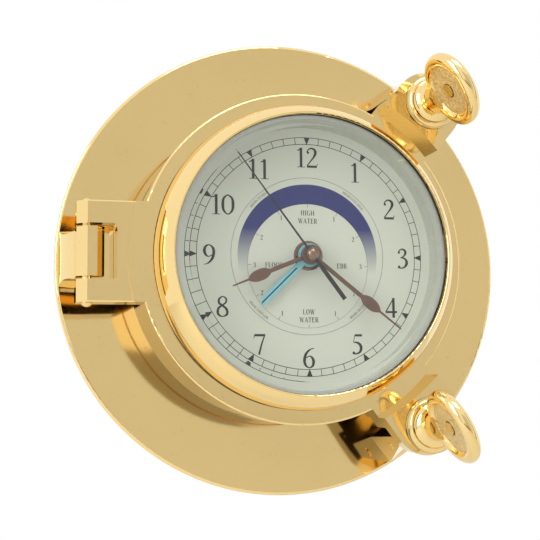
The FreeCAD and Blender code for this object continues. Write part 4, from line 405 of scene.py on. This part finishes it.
# Strokes of the characters on a cap height of 1: lists of (x, y, width); the first entry is the advance.
STROKES = {
    "0": (0.56,
          [(0.27, 0.98, 0.05), (0.1, 0.8, 0.1), (0.06, 0.5, 0.13), (0.1, 0.2, 0.1), (0.27, 0.02, 0.05),
           (0.44, 0.2, 0.1), (0.48, 0.5, 0.13), (0.44, 0.8, 0.1), (0.27, 0.98, 0.05)]),
    "1": (0.5,
          [(0.27, 0.0, 0.12), (0.27, 0.98, 0.12)],
          [(0.1, 0.84, 0.03), (0.2, 0.88, 0.06), (0.29, 0.97, 0.07)],
          [(0.1, 0.015, 0.03), (0.44, 0.015, 0.03)]),
    "2": (0.56,
          [(0.05, 0.76, 0.05), (0.1, 0.89, 0.05), (0.23, 0.97, 0.07), (0.37, 0.9, 0.11),
           (0.41, 0.74, 0.13), (0.34, 0.54, 0.09), (0.2, 0.32, 0.06), (0.05, 0.08, 0.05)],
          [(0.04, 0.05, 0.1), (0.47, 0.05, 0.1)],
          [(0.44, 0.04, 0.04), (0.5, 0.2, 0.03)]),
    "3": (0.54,
          [(0.07, 0.8, 0.04), (0.13, 0.91, 0.05), (0.25, 0.97, 0.07), (0.37, 0.89, 0.11),
           (0.38, 0.75, 0.11), (0.3, 0.61, 0.06), (0.17, 0.54, 0.04)],
          [(0.18, 0.54, 0.04), (0.34, 0.5, 0.08), (0.43, 0.37, 0.12), (0.42, 0.2, 0.12),
           (0.31, 0.05, 0.07), (0.15, 0.02, 0.06), (0.06, 0.08, 0.1)]),
    "4": (0.56,
          [(0.37, 0.0, 0.12), (0.37, 0.98, 0.12)],
          [(0.37, 0.96, 0.05), (0.03, 0.29, 0.05)],
          [(0.02, 0.28, 0.09), (0.52, 0.28, 0.09)]),
    "5": (0.54,
          [(0.15, 0.93, 0.1), (0.46, 0.93, 0.1)],
          [(0.16, 0.95, 0.03), (0.09, 0.58, 0.03)],
          [(0.09, 0.58, 0.03), (0.23, 0.58, 0.08), (0.37, 0.48, 0.12), (0.42, 0.3, 0.13),
           (0.36, 0.11, 0.1), (0.2, 0.02, 0.06), (0.06, 0.06, 0.09)]),
    "6": (0.56,
          [(0.48, 0.97, 0.02), (0.31, 0.9, 0.06), (0.14, 0.7, 0.11), (0.07, 0.42, 0.13),
           (0.1, 0.17, 0.11), (0.25, 0.02, 0.05), (0.4, 0.1, 0.1), (0.45, 0.31, 0.13), (0.39, 0.5, 0.1),
           (0.28, 0.58, 0.05), (0.14, 0.5, 0.04)]),
    "7": (0.54,
          [(0.05, 0.93, 0.1), (0.49, 0.93, 0.1)],
          [(0.47, 0.93, 0.05), (0.34, 0.5, 0.07), (0.23, 0.0, 0.09)],
          [(0.05, 0.95, 0.03), (0.02, 0.77, 0.03)]),
    "8": (0.54,
          [(0.26, 0.53, 0.09), (0.12, 0.66, 0.1), (0.12, 0.85, 0.09), (0.26, 0.97, 0.05),
           (0.4, 0.87, 0.08), (0.39, 0.69, 0.08), (0.26, 0.56, 0.07), (0.1, 0.42, 0.1), (0.06, 0.2, 0.11),
           (0.14, 0.06, 0.08), (0.27, 0.02, 0.05), (0.42, 0.1, 0.1), (0.45, 0.26, 0.11),
           (0.38, 0.42, 0.1), (0.26, 0.53, 0.09)]),
    "9": (0.56,
          [(0.06, 0.03, 0.02), (0.24, 0.1, 0.06), (0.4, 0.3, 0.11), (0.47, 0.58, 0.13),
           (0.44, 0.83, 0.11), (0.29, 0.98, 0.05), (0.14, 0.9, 0.1), (0.09, 0.69, 0.13), (0.15, 0.5, 0.1),
           (0.26, 0.42, 0.05), (0.4, 0.5, 0.04)]),
    "A": (0.74,
          [(0.1, 0.0, 0.04), (0.36, 1.0, 0.04)],
          [(0.34, 1.0, 0.1), (0.62, 0.0, 0.14)],
          [(0.19, 0.34, 0.04), (0.5, 0.34, 0.04)],
          [(0.0, 0.02, 0.04), (0.22, 0.02, 0.04)],
          [(0.5, 0.02, 0.04), (0.74, 0.02, 0.04)]),
    "B": (0.64,
          [(0.14, 0.0, 0.12), (0.14, 1.0, 0.12)],
          [(0.04, 0.97, 0.05), (0.34, 0.97, 0.05), (0.48, 0.87, 0.1), (0.47, 0.65, 0.1),
           (0.34, 0.54, 0.05), (0.14, 0.53, 0.05)],
          [(0.3, 0.53, 0.05), (0.5, 0.45, 0.09), (0.56, 0.27, 0.13), (0.47, 0.07, 0.09),
           (0.3, 0.03, 0.05), (0.04, 0.03, 0.05)]),
    "D": (0.72,
          [(0.14, 0.0, 0.12), (0.14, 1.0, 0.12)],
          [(0.04, 0.97, 0.05), (0.36, 0.97, 0.05), (0.57, 0.83, 0.1), (0.63, 0.5, 0.14),
           (0.57, 0.17, 0.1), (0.36, 0.03, 0.05), (0.04, 0.03, 0.05)]),
    "E": (0.62,
          [(0.14, 0.0, 0.12), (0.14, 1.0, 0.12)],
          [(0.04, 0.97, 0.05), (0.52, 0.97, 0.05), (0.53, 0.8, 0.04)],
          [(0.14, 0.53, 0.05), (0.42, 0.53, 0.05)],
          [(0.42, 0.42, 0.04), (0.42, 0.64, 0.04)],
          [(0.04, 0.03, 0.05), (0.54, 0.03, 0.05), (0.58, 0.22, 0.04)]),
    "F": (0.58,
          [(0.14, 0.0, 0.12), (0.14, 1.0, 0.12)],
          [(0.04, 0.97, 0.05), (0.52, 0.97, 0.05), (0.53, 0.8, 0.04)],
          [(0.14, 0.53, 0.05), (0.42, 0.53, 0.05)],
          [(0.42, 0.42, 0.04), (0.42, 0.64, 0.04)],
          [(0.03, 0.02, 0.04), (0.27, 0.02, 0.04)]),
    "G": (0.74,
          [(0.6, 0.78, 0.04), (0.52, 0.93, 0.05), (0.35, 0.98, 0.05), (0.15, 0.85, 0.1),
           (0.08, 0.5, 0.14), (0.15, 0.15, 0.1), (0.35, 0.02, 0.05), (0.52, 0.05, 0.06),
           (0.6, 0.12, 0.06)],
          [(0.6, 0.06, 0.12), (0.6, 0.42, 0.12)],
          [(0.48, 0.43, 0.04), (0.72, 0.43, 0.04)]),
    "H": (0.76,
          [(0.14, 0.0, 0.12), (0.14, 1.0, 0.12)],
          [(0.6, 0.0, 0.12), (0.6, 1.0, 0.12)],
          [(0.14, 0.52, 0.05), (0.6, 0.52, 0.05)],
          [(0.03, 0.02, 0.04), (0.26, 0.02, 0.04)],
          [(0.48, 0.02, 0.04), (0.72, 0.02, 0.04)],
          [(0.03, 0.98, 0.04), (0.26, 0.98, 0.04)],
          [(0.48, 0.98, 0.04), (0.72, 0.98, 0.04)]),
    "I": (0.36,
          [(0.17, 0.0, 0.12), (0.17, 1.0, 0.12)],
          [(0.05, 0.02, 0.04), (0.3, 0.02, 0.04)],
          [(0.05, 0.98, 0.04), (0.3, 0.98, 0.04)]),
    "L": (0.6,
          [(0.14, 0.0, 0.12), (0.14, 1.0, 0.12)],
          [(0.03, 0.98, 0.04), (0.27, 0.98, 0.04)],
          [(0.04, 0.03, 0.05), (0.52, 0.03, 0.05), (0.57, 0.22, 0.04)]),
    "N": (0.76,
          [(0.13, 0.0, 0.05), (0.13, 1.0, 0.05)],
          [(0.11, 1.0, 0.12), (0.6, 0.0, 0.12)],
          [(0.61, 0.0, 0.05), (0.61, 1.0, 0.05)],
          [(0.02, 0.98, 0.04), (0.2, 0.98, 0.04)],
          [(0.04, 0.02, 0.04), (0.24, 0.02, 0.04)],
          [(0.5, 0.98, 0.04), (0.72, 0.98, 0.04)]),
    "O": (0.74,
          [(0.36, 0.98, 0.05), (0.15, 0.84, 0.1), (0.08, 0.5, 0.14), (0.15, 0.16, 0.1),
           (0.36, 0.02, 0.05), (0.57, 0.16, 0.1), (0.64, 0.5, 0.14), (0.57, 0.84, 0.1),
           (0.36, 0.98, 0.05)]),
    "P": (0.62,
          [(0.14, 0.0, 0.12), (0.14, 1.0, 0.12)],
          [(0.04, 0.97, 0.05), (0.34, 0.97, 0.05), (0.5, 0.86, 0.1), (0.5, 0.62, 0.1), (0.34, 0.49, 0.05),
           (0.14, 0.48, 0.05)],
          [(0.03, 0.02, 0.04), (0.27, 0.02, 0.04)]),
    "R": (0.68,
          [(0.14, 0.0, 0.12), (0.14, 1.0, 0.12)],
          [(0.04, 0.97, 0.05), (0.34, 0.97, 0.05), (0.5, 0.86, 0.1), (0.49, 0.63, 0.1),
           (0.34, 0.51, 0.05), (0.14, 0.5, 0.05)],
          [(0.32, 0.5, 0.1), (0.6, 0.0, 0.12)],
          [(0.03, 0.02, 0.04), (0.27, 0.02, 0.04)],
          [(0.56, 0.02, 0.04), (0.7, 0.02, 0.04)]),
    "S": (0.56,
          [(0.46, 0.76, 0.04), (0.4, 0.93, 0.05), (0.25, 0.98, 0.05), (0.1, 0.86, 0.1),
           (0.12, 0.67, 0.11), (0.3, 0.5, 0.13), (0.46, 0.33, 0.12), (0.44, 0.12, 0.09),
           (0.27, 0.02, 0.05), (0.12, 0.07, 0.05), (0.06, 0.26, 0.04)]),
    "T": (0.64,
          [(0.31, 0.0, 0.12), (0.31, 1.0, 0.12)],
          [(0.04, 0.78, 0.04), (0.06, 0.97, 0.05), (0.56, 0.97, 0.05), (0.58, 0.78, 0.04)],
          [(0.19, 0.02, 0.04), (0.43, 0.02, 0.04)]),
    "U": (0.74,
          [(0.14, 1.0, 0.12), (0.14, 0.32, 0.12), (0.2, 0.09, 0.09), (0.37, 0.02, 0.05),
           (0.54, 0.1, 0.05), (0.6, 0.32, 0.05), (0.6, 1.0, 0.05)],
          [(0.03, 0.98, 0.04), (0.26, 0.98, 0.04)],
          [(0.5, 0.98, 0.04), (0.71, 0.98, 0.04)]),
    "W": (0.98,
          [(0.1, 1.0, 0.12), (0.32, 0.0, 0.1)],
          [(0.32, 0.0, 0.04), (0.5, 1.0, 0.04)],
          [(0.46, 1.0, 0.12), (0.68, 0.0, 0.1)],
          [(0.68, 0.0, 0.04), (0.88, 1.0, 0.04)],
          [(0.0, 0.98, 0.04), (0.24, 0.98, 0.04)],
          [(0.78, 0.98, 0.04), (0.98, 0.98, 0.04)]),
    " ": (0.34,),
}
DOTS = {"2": [(0.09, 0.75, 0.06)], "3": [(0.1, 0.8, 0.06), (0.1, 0.09, 0.06)], "5": [(0.1, 0.08, 0.06)],
        "6": [(0.44, 0.93, 0.02)]}


def smooth(points, steps=6):
    """A smooth line with widths through a few given points; two points stay straight."""
    if len(points) == 2:
        return points
    line = []
    for index in range(len(points) - 1):
        before = points[max(index - 1, 0)]
        first, second = points[index], points[index + 1]
        after = points[min(index + 2, len(points) - 1)]
        for step in range(steps):
            t = step / steps
            line.append(tuple(0.5 * (2 * b + (c - a) * t + (2 * a - 5 * b + 4 * c - d) * t * t
                                     + (3 * b - a - 3 * c + d) * t ** 3)
                              for a, b, c, d in zip(before, first, second, after)))
    return line + [points[-1]]


class Print:
    """Flat ink on the dial, gathered as polygons in dial millimetres: x to the right, z up."""

    def __init__(self):
        self.spots = []
        self.faces = []

    def polygon(self, points):
        first = len(self.spots)
        self.spots += points
        self.faces.append(tuple(range(first, first + len(points))))

    def ribbon(self, line, closed=False):
        """A band along (x, z, width) points."""
        count = len(line)
        sides = []
        for index, (x, z, width) in enumerate(line):
            before = line[index - 1] if index or closed else line[0]
            after = line[(index + 1) % count] if index < count - 1 or closed else line[-1]
            way = Vector((after[0] - before[0], after[1] - before[1])).normalized()
            sides.append(((x - way.y * width / 2, z + way.x * width / 2),
                          (x + way.y * width / 2, z - way.x * width / 2)))
        for index in range(count if closed else count - 1):
            one, two = sides[index], sides[(index + 1) % count]
            self.polygon([one[0], one[1], two[1], two[0]])

    def circle(self, radius, width, centre=0.0, steps=180):
        self.ribbon([(radius * math.cos(2 * math.pi * index / steps),
                      centre + radius * math.sin(2 * math.pi * index / steps), width)
                     for index in range(steps)], True)

    def disc(self, x, z, radius, steps=20):
        self.polygon([(x + radius * math.cos(2 * math.pi * index / steps),
                       z + radius * math.sin(2 * math.pi * index / steps)) for index in range(steps)])

    def text(self, words, size, carry, weight=1.0, space=0.0, stretch=1.0):
        """Characters on a line; carry turns a place along it, in mm, into one on the dial."""
        wide = size * stretch
        start = -(sum(STROKES[letter][0] + space for letter in words) - space) * wide / 2
        for letter in words:
            for stroke in STROKES[letter][1:]:
                line = [carry(start + x * wide, y * size) + (width * weight * size,)
                        for x, y, width in smooth(stroke)]
                self.ribbon(line)
            for x, y, radius in DOTS.get(letter, ()):
                self.disc(*carry(start + x * wide, y * size), radius * size)
            start += (STROKES[letter][0] + space) * wide

    def piece(self, name, material, height):
        """The ink as a mesh that lies just over the dial and rides on the door."""
        mesh = bpy.data.meshes.new(name)
        mesh.from_pydata([(x * MM, DIAL_FRONT - height, z * MM) for x, z in self.spots], [], self.faces)
        for face in mesh.polygons:
            if face.normal.y > 0:
                face.flip()
        mesh.materials.append(material)
        item = bpy.data.objects.new(name, mesh)
        bpy.context.scene.collection.objects.link(item)
        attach(item, "door")
        return item


def upright(x, z):
    """Level writing whose middle is at a place on the dial."""
    return lambda along, up: (x + along, z + up)


def round_writing(radius, middle, outward=True):
    """Writing along a circle; middle is in degrees clockwise from 12."""
    def carry(along, up):
        if outward:
            angle = math.radians(90 - middle) - along / radius
            distance = radius + up
        else:
            angle = math.radians(90 - middle) + along / radius
            distance = radius - up
        return distance * math.cos(angle), distance * math.sin(angle)
    return carry


TRACK_INNER, TRACK_OUTER, TRACK_LINE = 50.03, 53.07, 0.28
NUMERAL_RADIUS, NUMERAL_SIZE, NUMERAL_DROP = 44.5, 9.0, 0.4
TIDE_RING, CRESCENT_OUTER, CRESCENT_INNER, CRESCENT_DROP = 34.9, 31.9, 27.5, 4.4


def print_time(ink):
    """Minute track with hour wedges, and the twelve hour numbers."""
    ink.circle(TRACK_INNER, TRACK_LINE)
    ink.circle(TRACK_OUTER, TRACK_LINE)
    for minute in range(60):
        angle = math.radians(90 - 6 * minute)
        way, side = Vector((math.cos(angle), math.sin(angle))), Vector((-math.sin(angle), math.cos(angle)))
        if minute % 5:
            ink.ribbon([tuple(way * TRACK_INNER) + (TRACK_LINE,), tuple(way * TRACK_OUTER) + (TRACK_LINE,)])
        else:
            foot, tip = way * TRACK_OUTER, way * (TRACK_INNER - 0.3)
            ink.polygon([tuple(foot + side * 1.35), tuple(tip), tuple(foot - side * 1.35)])
    for hour in range(1, 13):
        angle = math.radians(90 - 30 * hour)
        x, z = NUMERAL_RADIUS * math.cos(angle), NUMERAL_RADIUS * math.sin(angle)
        ink.text(str(hour), NUMERAL_SIZE, upright(x, z - NUMERAL_SIZE / 2 - NUMERAL_DROP), 1.1, -0.02, 1.2)


TIDE_WORDS = [("HIGH", 0, 18.0), ("WATER", 0, 14.4), ("LOW", 0, -25.9), ("WATER", 0, -29.4),
              ("FLOOD", -15.5, -5.4), ("EBB", 15.5, -5.4)]
ROUND_WORDS = [("HOURS TO HIGH", -42, True), ("HOURS PAST HIGH", 40, True),
               ("HOURS PAST LOW", 223, False), ("HOURS TO LOW", 137, False)]


def print_tide(ink):
    """Thin ring, hour ticks and words of the tide scale."""
    ink.circle(TIDE_RING, 0.14)
    ink.circle(CRESCENT_INNER, 0.1, -CRESCENT_DROP)
    for step in range(12):
        angle = math.radians(90 - 30 * step)
        way = Vector((math.cos(angle), math.sin(angle)))
        drop = Vector((0, -CRESCENT_DROP))
        ink.ribbon([tuple(drop + way * (CRESCENT_INNER - 1.6)) + (0.16,),
                    tuple(drop + way * CRESCENT_INNER) + (0.16,)])
        label = min(step, 12 - step)
        if label % 6:
            x, z = drop + way * (CRESCENT_INNER - 3.2)
            ink.text(str(label if label < 4 else 6 - label), 2.1, upright(x, z - 1.05), 1.25)
    for words, x, z in TIDE_WORDS:
        ink.text(words, 2.2, upright(x, z), 1.25, 0.08)
    for words, middle, outward in ROUND_WORDS:
        ink.text(words, 1.15,
                 round_writing(TIDE_RING - 2.1 if outward else TIDE_RING - 0.95, middle, outward),
                 1.1, 0.06)


def print_crescent():
    """Crescent between two circles that touch at the bottom."""
    ink = Print()
    steps = 144
    for index in range(steps):
        ring = []
        for angle in (2 * math.pi * index / steps, 2 * math.pi * (index + 1) / steps):
            way = (math.sin(angle), math.cos(angle))
            ring.append((CRESCENT_OUTER * way[0], CRESCENT_OUTER * way[1]))
            ring.append((CRESCENT_INNER * way[0], CRESCENT_INNER * way[1] - CRESCENT_DROP))
        ink.polygon([ring[0], ring[2], ring[3], ring[1]])
    return ink


def make_dial_paint(tone):
    """Silvered cream dial with a faint fine grain."""
    graph = Graph("dial_print")
    fleck = graph.noise(1400.0, 2.0, 0.5)
    cloud = graph.noise(30.0, 2.0, 0.5)
    base = graph.mix(fleck * 0.5 + cloud * 0.5, shade(tone, 0.97), shade(tone, 1.03))
    return graph.finish(graph.principled(Base_Color=base, Roughness=0.42 + fleck * 0.1, Metallic=0.0,
                                         Normal=graph.bump(fleck, 0.1, 0.00001)))


def make_ink(name, tone):
    graph = Graph(name)
    grain = graph.noise(2600.0, 2.0, 0.5)
    base = graph.mix(grain, shade(tone, 0.8), shade(tone, 1.3))
    return graph.finish(graph.principled(Base_Color=base, Roughness=0.45 + grain * 0.1))


def make_crescent_ink(deep, pale):
    """Blue that fades to the colour of the dial from top to bottom."""
    graph = Graph("dial_crescent")
    x, y, z = graph.parts(graph.place())
    fade = z.above(0.002, 0.02)
    grain = graph.noise(2600.0, 2.0, 0.5)
    base = graph.mix(fade, pale, deep)
    return graph.finish(graph.principled(Base_Color=base, Roughness=0.45 + grain * 0.1))


class DialSettings(bpy.types.PropertyGroup):
    paper: FloatVectorProperty(name="Dial", description="Colour of the dial", subtype="COLOR", size=3, min=0,
                               max=1, default=colour(214, 217, 202)[:3])
    ink: FloatVectorProperty(name="Ink", description="Colour of the figures", subtype="COLOR", size=3, min=0,
                             max=1, default=colour(12, 12, 14)[:3])
    tide: FloatVectorProperty(name="Crescent", description="Colour of the tide crescent", subtype="COLOR",
                              size=3, min=0, max=1, default=colour(18, 32, 112)[:3])
    ink_height: FloatProperty(name="Ink height", description="Height of the ink over the dial",
                              default=0.00002, min=0.00001, max=0.0001, unit="LENGTH", precision=6)


class CLOCK_OT_dial(bpy.types.Operator):
    """Dial with its printed time and tide scales"""

    bl_idname = "clock.dial"
    bl_label = "Print the dial"

    def execute(self, context):
        settings = context.scene.clock_dial
        paper = tuple(settings.paper) + (1,)
        dress(["dial"], make_dial_paint(paper))
        black = make_ink("dial_ink", tuple(settings.ink) + (1,))
        time = Print()
        print_time(time)
        time.piece("time_scale", black, settings.ink_height)
        tide = Print()
        print_tide(tide)
        tide.piece("tide_scale", black, settings.ink_height * 2)
        print_crescent().piece("tide_crescent", make_crescent_ink(tuple(settings.tide) + (1,), paper),
                               settings.ink_height)
        graph = Graph("inner_ring_silver")
        fine = graph.noise(600.0, 3.0, 0.5)
        base = graph.mix(fine, colour(196, 198, 190), colour(222, 223, 214))
        dress(["inner_ring"], graph.finish(graph.principled(
            Base_Color=base, Roughness=0.28 + fine * 0.08, Metallic=0.75,
            Normal=graph.bump(fine, 0.1, 0.00001))))
        return {"FINISHED"}


# Glass


class CLOCK_OT_glass(bpy.types.Operator):
    """Clear bevelled glass"""

    bl_idname = "clock.glass"
    bl_label = "Fit the glass"

    def execute(self, context):
        graph = Graph("clear_glass")
        dust = graph.noise(900.0, 3.0, 0.6).above(0.68, 0.2)
        smear = graph.noise(24.0, 3.0, 0.6).above(0.5, 0.6)
        clear = graph.principled(Base_Color=(0.985, 0.995, 0.99, 1), Roughness=smear * 0.012 + dust * 0.03,
                                 IOR=1.5, Transmission_Weight=1.0)
        # Light on its way to the dial goes straight through.
        path = graph.node("ShaderNodeLightPath")
        passing = Value(graph, path.outputs["Is Shadow Ray"]) + Value(graph, path.outputs["Is Diffuse Ray"])
        through = graph.node("ShaderNodeBsdfTransparent", Color=(0.96, 0.97, 0.96, 1))
        blend = graph.node("ShaderNodeMixShader")
        for socket, source in zip(blend.inputs,
                                  (passing.clamped(), clear, Value(graph, through.outputs[0]))):
            graph.link(source, socket)
        dress(["glass"], graph.finish(Value(graph, blend.outputs[0])))
        return {"FINISHED"}


# Stage

# The camera that took the photograph, found from the round edges of the object.
CAMERA_PLACE = (-0.13294, -0.49956, -0.0561)
CAMERA_TURN = (-14.34, 6.06, -0.58)
CAMERA_LENS = 71.56


class StageSettings(bpy.types.PropertyGroup):
    room: FloatProperty(name="Room light", description="Strength of the plain light from all round",
                        default=0.9, min=0, max=3)
    card: FloatVectorProperty(name="Card", description="Colour of the grey card in front of the clock",
                              subtype="COLOR", size=3, min=0, max=1, default=colour(214, 213, 211)[:3])
    floor: FloatVectorProperty(name="Floor", description="Colour of the floor", subtype="COLOR", size=3,
                               min=0, max=1, default=colour(232, 231, 228)[:3])


def soft_light(name, place, size, power, target=(0, -0.03, 0), tint=(1, 1, 1)):
    lamp = bpy.data.lights.new(name, "AREA")
    lamp.shape = "RECTANGLE"
    lamp.size, lamp.size_y = size
    lamp.energy = power
    lamp.color = tint
    item = bpy.data.objects.new(name, lamp)
    bpy.context.scene.collection.objects.link(item)
    item.location = place
    item.rotation_euler = (Vector(place) - Vector(target)).to_track_quat("Z", "Y").to_euler()
    return item


def make_world(room):
    """White where the camera, metal or glass sees it; a plain room for the light on everything."""
    world = bpy.data.worlds.new("studio")
    world.use_nodes = True
    tree = world.node_tree
    tree.nodes.clear()
    output = tree.nodes.new("ShaderNodeOutputWorld")
    seen, lit = tree.nodes.new("ShaderNodeBackground"), tree.nodes.new("ShaderNodeBackground")
    seen.inputs["Color"].default_value = (1, 1, 1, 1)
    lit.inputs["Color"].default_value = (1, 1, 1, 1)
    lit.inputs["Strength"].default_value = room
    mix = tree.nodes.new("ShaderNodeMixShader")
    path = tree.nodes.new("ShaderNodeLightPath")
    total = path.outputs["Is Camera Ray"]
    for kind in ("Is Glossy Ray", "Is Transmission Ray"):
        item = tree.nodes.new("ShaderNodeMath")
        item.operation = "ADD"
        item.use_clamp = True
        tree.links.new(total, item.inputs[0])
        tree.links.new(path.outputs[kind], item.inputs[1])
        total = item.outputs[0]
    tree.links.new(total, mix.inputs[0])
    tree.links.new(lit.outputs[0], mix.inputs[1])
    tree.links.new(seen.outputs[0], mix.inputs[2])
    tree.links.new(mix.outputs[0], output.inputs[0])
    return world


def make_matt(name, tone):
    """Plain painted card or floor with a faint grain."""
    graph = Graph(name)
    grain = graph.noise(8.0, 3.0, 0.5)
    return graph.finish(graph.principled(Base_Color=graph.mix(grain, shade(tone, 0.99), shade(tone, 1.01)),
                                         Roughness=0.85))


def panel(name, place, size, tone, target=(0, -0.03, 0)):
    """A flat rectangle that faces the clock, or lies level where target is None."""
    wide, high = size[0] / 2, size[1] / 2
    mesh = bpy.data.meshes.new(name)
    mesh.from_pydata([(-wide, -high, 0), (wide, -high, 0), (wide, high, 0), (-wide, high, 0)], [],
                     [(0, 1, 2, 3)])
    mesh.materials.append(make_matt(name, tone))
    item = bpy.data.objects.new(name, mesh)
    bpy.context.scene.collection.objects.link(item)
    item.location = place
    if target is not None:
        item.rotation_euler = (Vector(target) - Vector(place)).to_track_quat("Z", "Y").to_euler()
        item.visible_camera = False
    return item


class CLOCK_OT_stage(bpy.types.Operator):
    """Studio with soft lights, a white ground and the camera of the photograph"""

    bl_idname = "clock.stage"
    bl_label = "Set the stage"

    def execute(self, context):
        scene = context.scene
        settings = scene.clock_stage
        scene.world = make_world(settings.room)
        soft_light("window_left", (-1.1, -0.5, 0.4), (0.5, 1.0), 6.0)
        soft_light("window_top", (0.1, -0.6, 1.2), (0.8, 0.5), 5.0)
        card = tuple(settings.card) + (1,)
        panel("card_front", (0.42, -1.5, 0.1), (1.5, 1.5), card)
        panel("card_low", (-0.2, -1.4, -0.62), (1.2, 0.72), shade(card, 0.42), (-0.2, 0, -0.62))
        panel("card_dark_left", (-0.95, -0.95, 0.05), (0.1, 1.6), shade(card, 0.06))
        panel("card_dark_right", (1.0, -0.5, 0.05), (0.14, 1.6), shade(card, 0.06))
        panel("floor", (0, 0, -0.42), (2.4, 2.4), tuple(settings.floor) + (1,), None)
        camera = bpy.data.cameras.new("camera")
        camera.lens = CAMERA_LENS
        camera.sensor_width = 36
        camera.clip_start = 0.01
        item = bpy.data.objects.new("camera", camera)
        scene.collection.objects.link(item)
        yaw, pitch, roll = [math.radians(angle) for angle in CAMERA_TURN]
        turn = (Matrix.Rotation(yaw, 4, "Z") @ Matrix.Rotation(math.pi / 2 + pitch, 4, "X")
                @ Matrix.Rotation(roll, 4, "Z"))
        item.matrix_world = Matrix.Translation(CAMERA_PLACE) @ turn
        scene.camera = item
        scene.view_settings.view_transform = "Standard"
        return {"FINISHED"}


# Add-on

GROUPS = {"clock_brass": BrassSettings, "clock_hands": HandSettings, "clock_dial": DialSettings,
          "clock_stage": StageSettings}
OPERATORS = [CLOCK_OT_brass, CLOCK_OT_movement, CLOCK_OT_hands, CLOCK_OT_dial, CLOCK_OT_glass,
             CLOCK_OT_stage]


class CLOCK_PT_panel(bpy.types.Panel):
    bl_label = "Tide clock"
    bl_idname = "CLOCK_PT_panel"
    bl_space_type = "VIEW_3D"
    bl_region_type = "UI"
    bl_category = "Tide clock"

    def draw(self, context):
        for name, group in GROUPS.items():
            box = self.layout.box()
            for key in group.__annotations__:
                box.prop(getattr(context.scene, name), key)
        for operator in OPERATORS:
            self.layout.operator(operator.bl_idname)


CLASSES = list(GROUPS.values()) + OPERATORS + [CLOCK_PT_panel]


def register():
    for item in CLASSES:
        bpy.utils.register_class(item)
    for name, group in GROUPS.items():
        setattr(bpy.types.Scene, name, PointerProperty(type=group))


def unregister():
    for name in GROUPS:
        delattr(bpy.types.Scene, name)
    for item in reversed(CLASSES):
        bpy.utils.unregister_class(item)


def main():
    register()
    for operator in OPERATORS:
        getattr(bpy.ops.clock, operator.bl_idname.split(".")[1])()


if __name__ == "__main__":
    main()
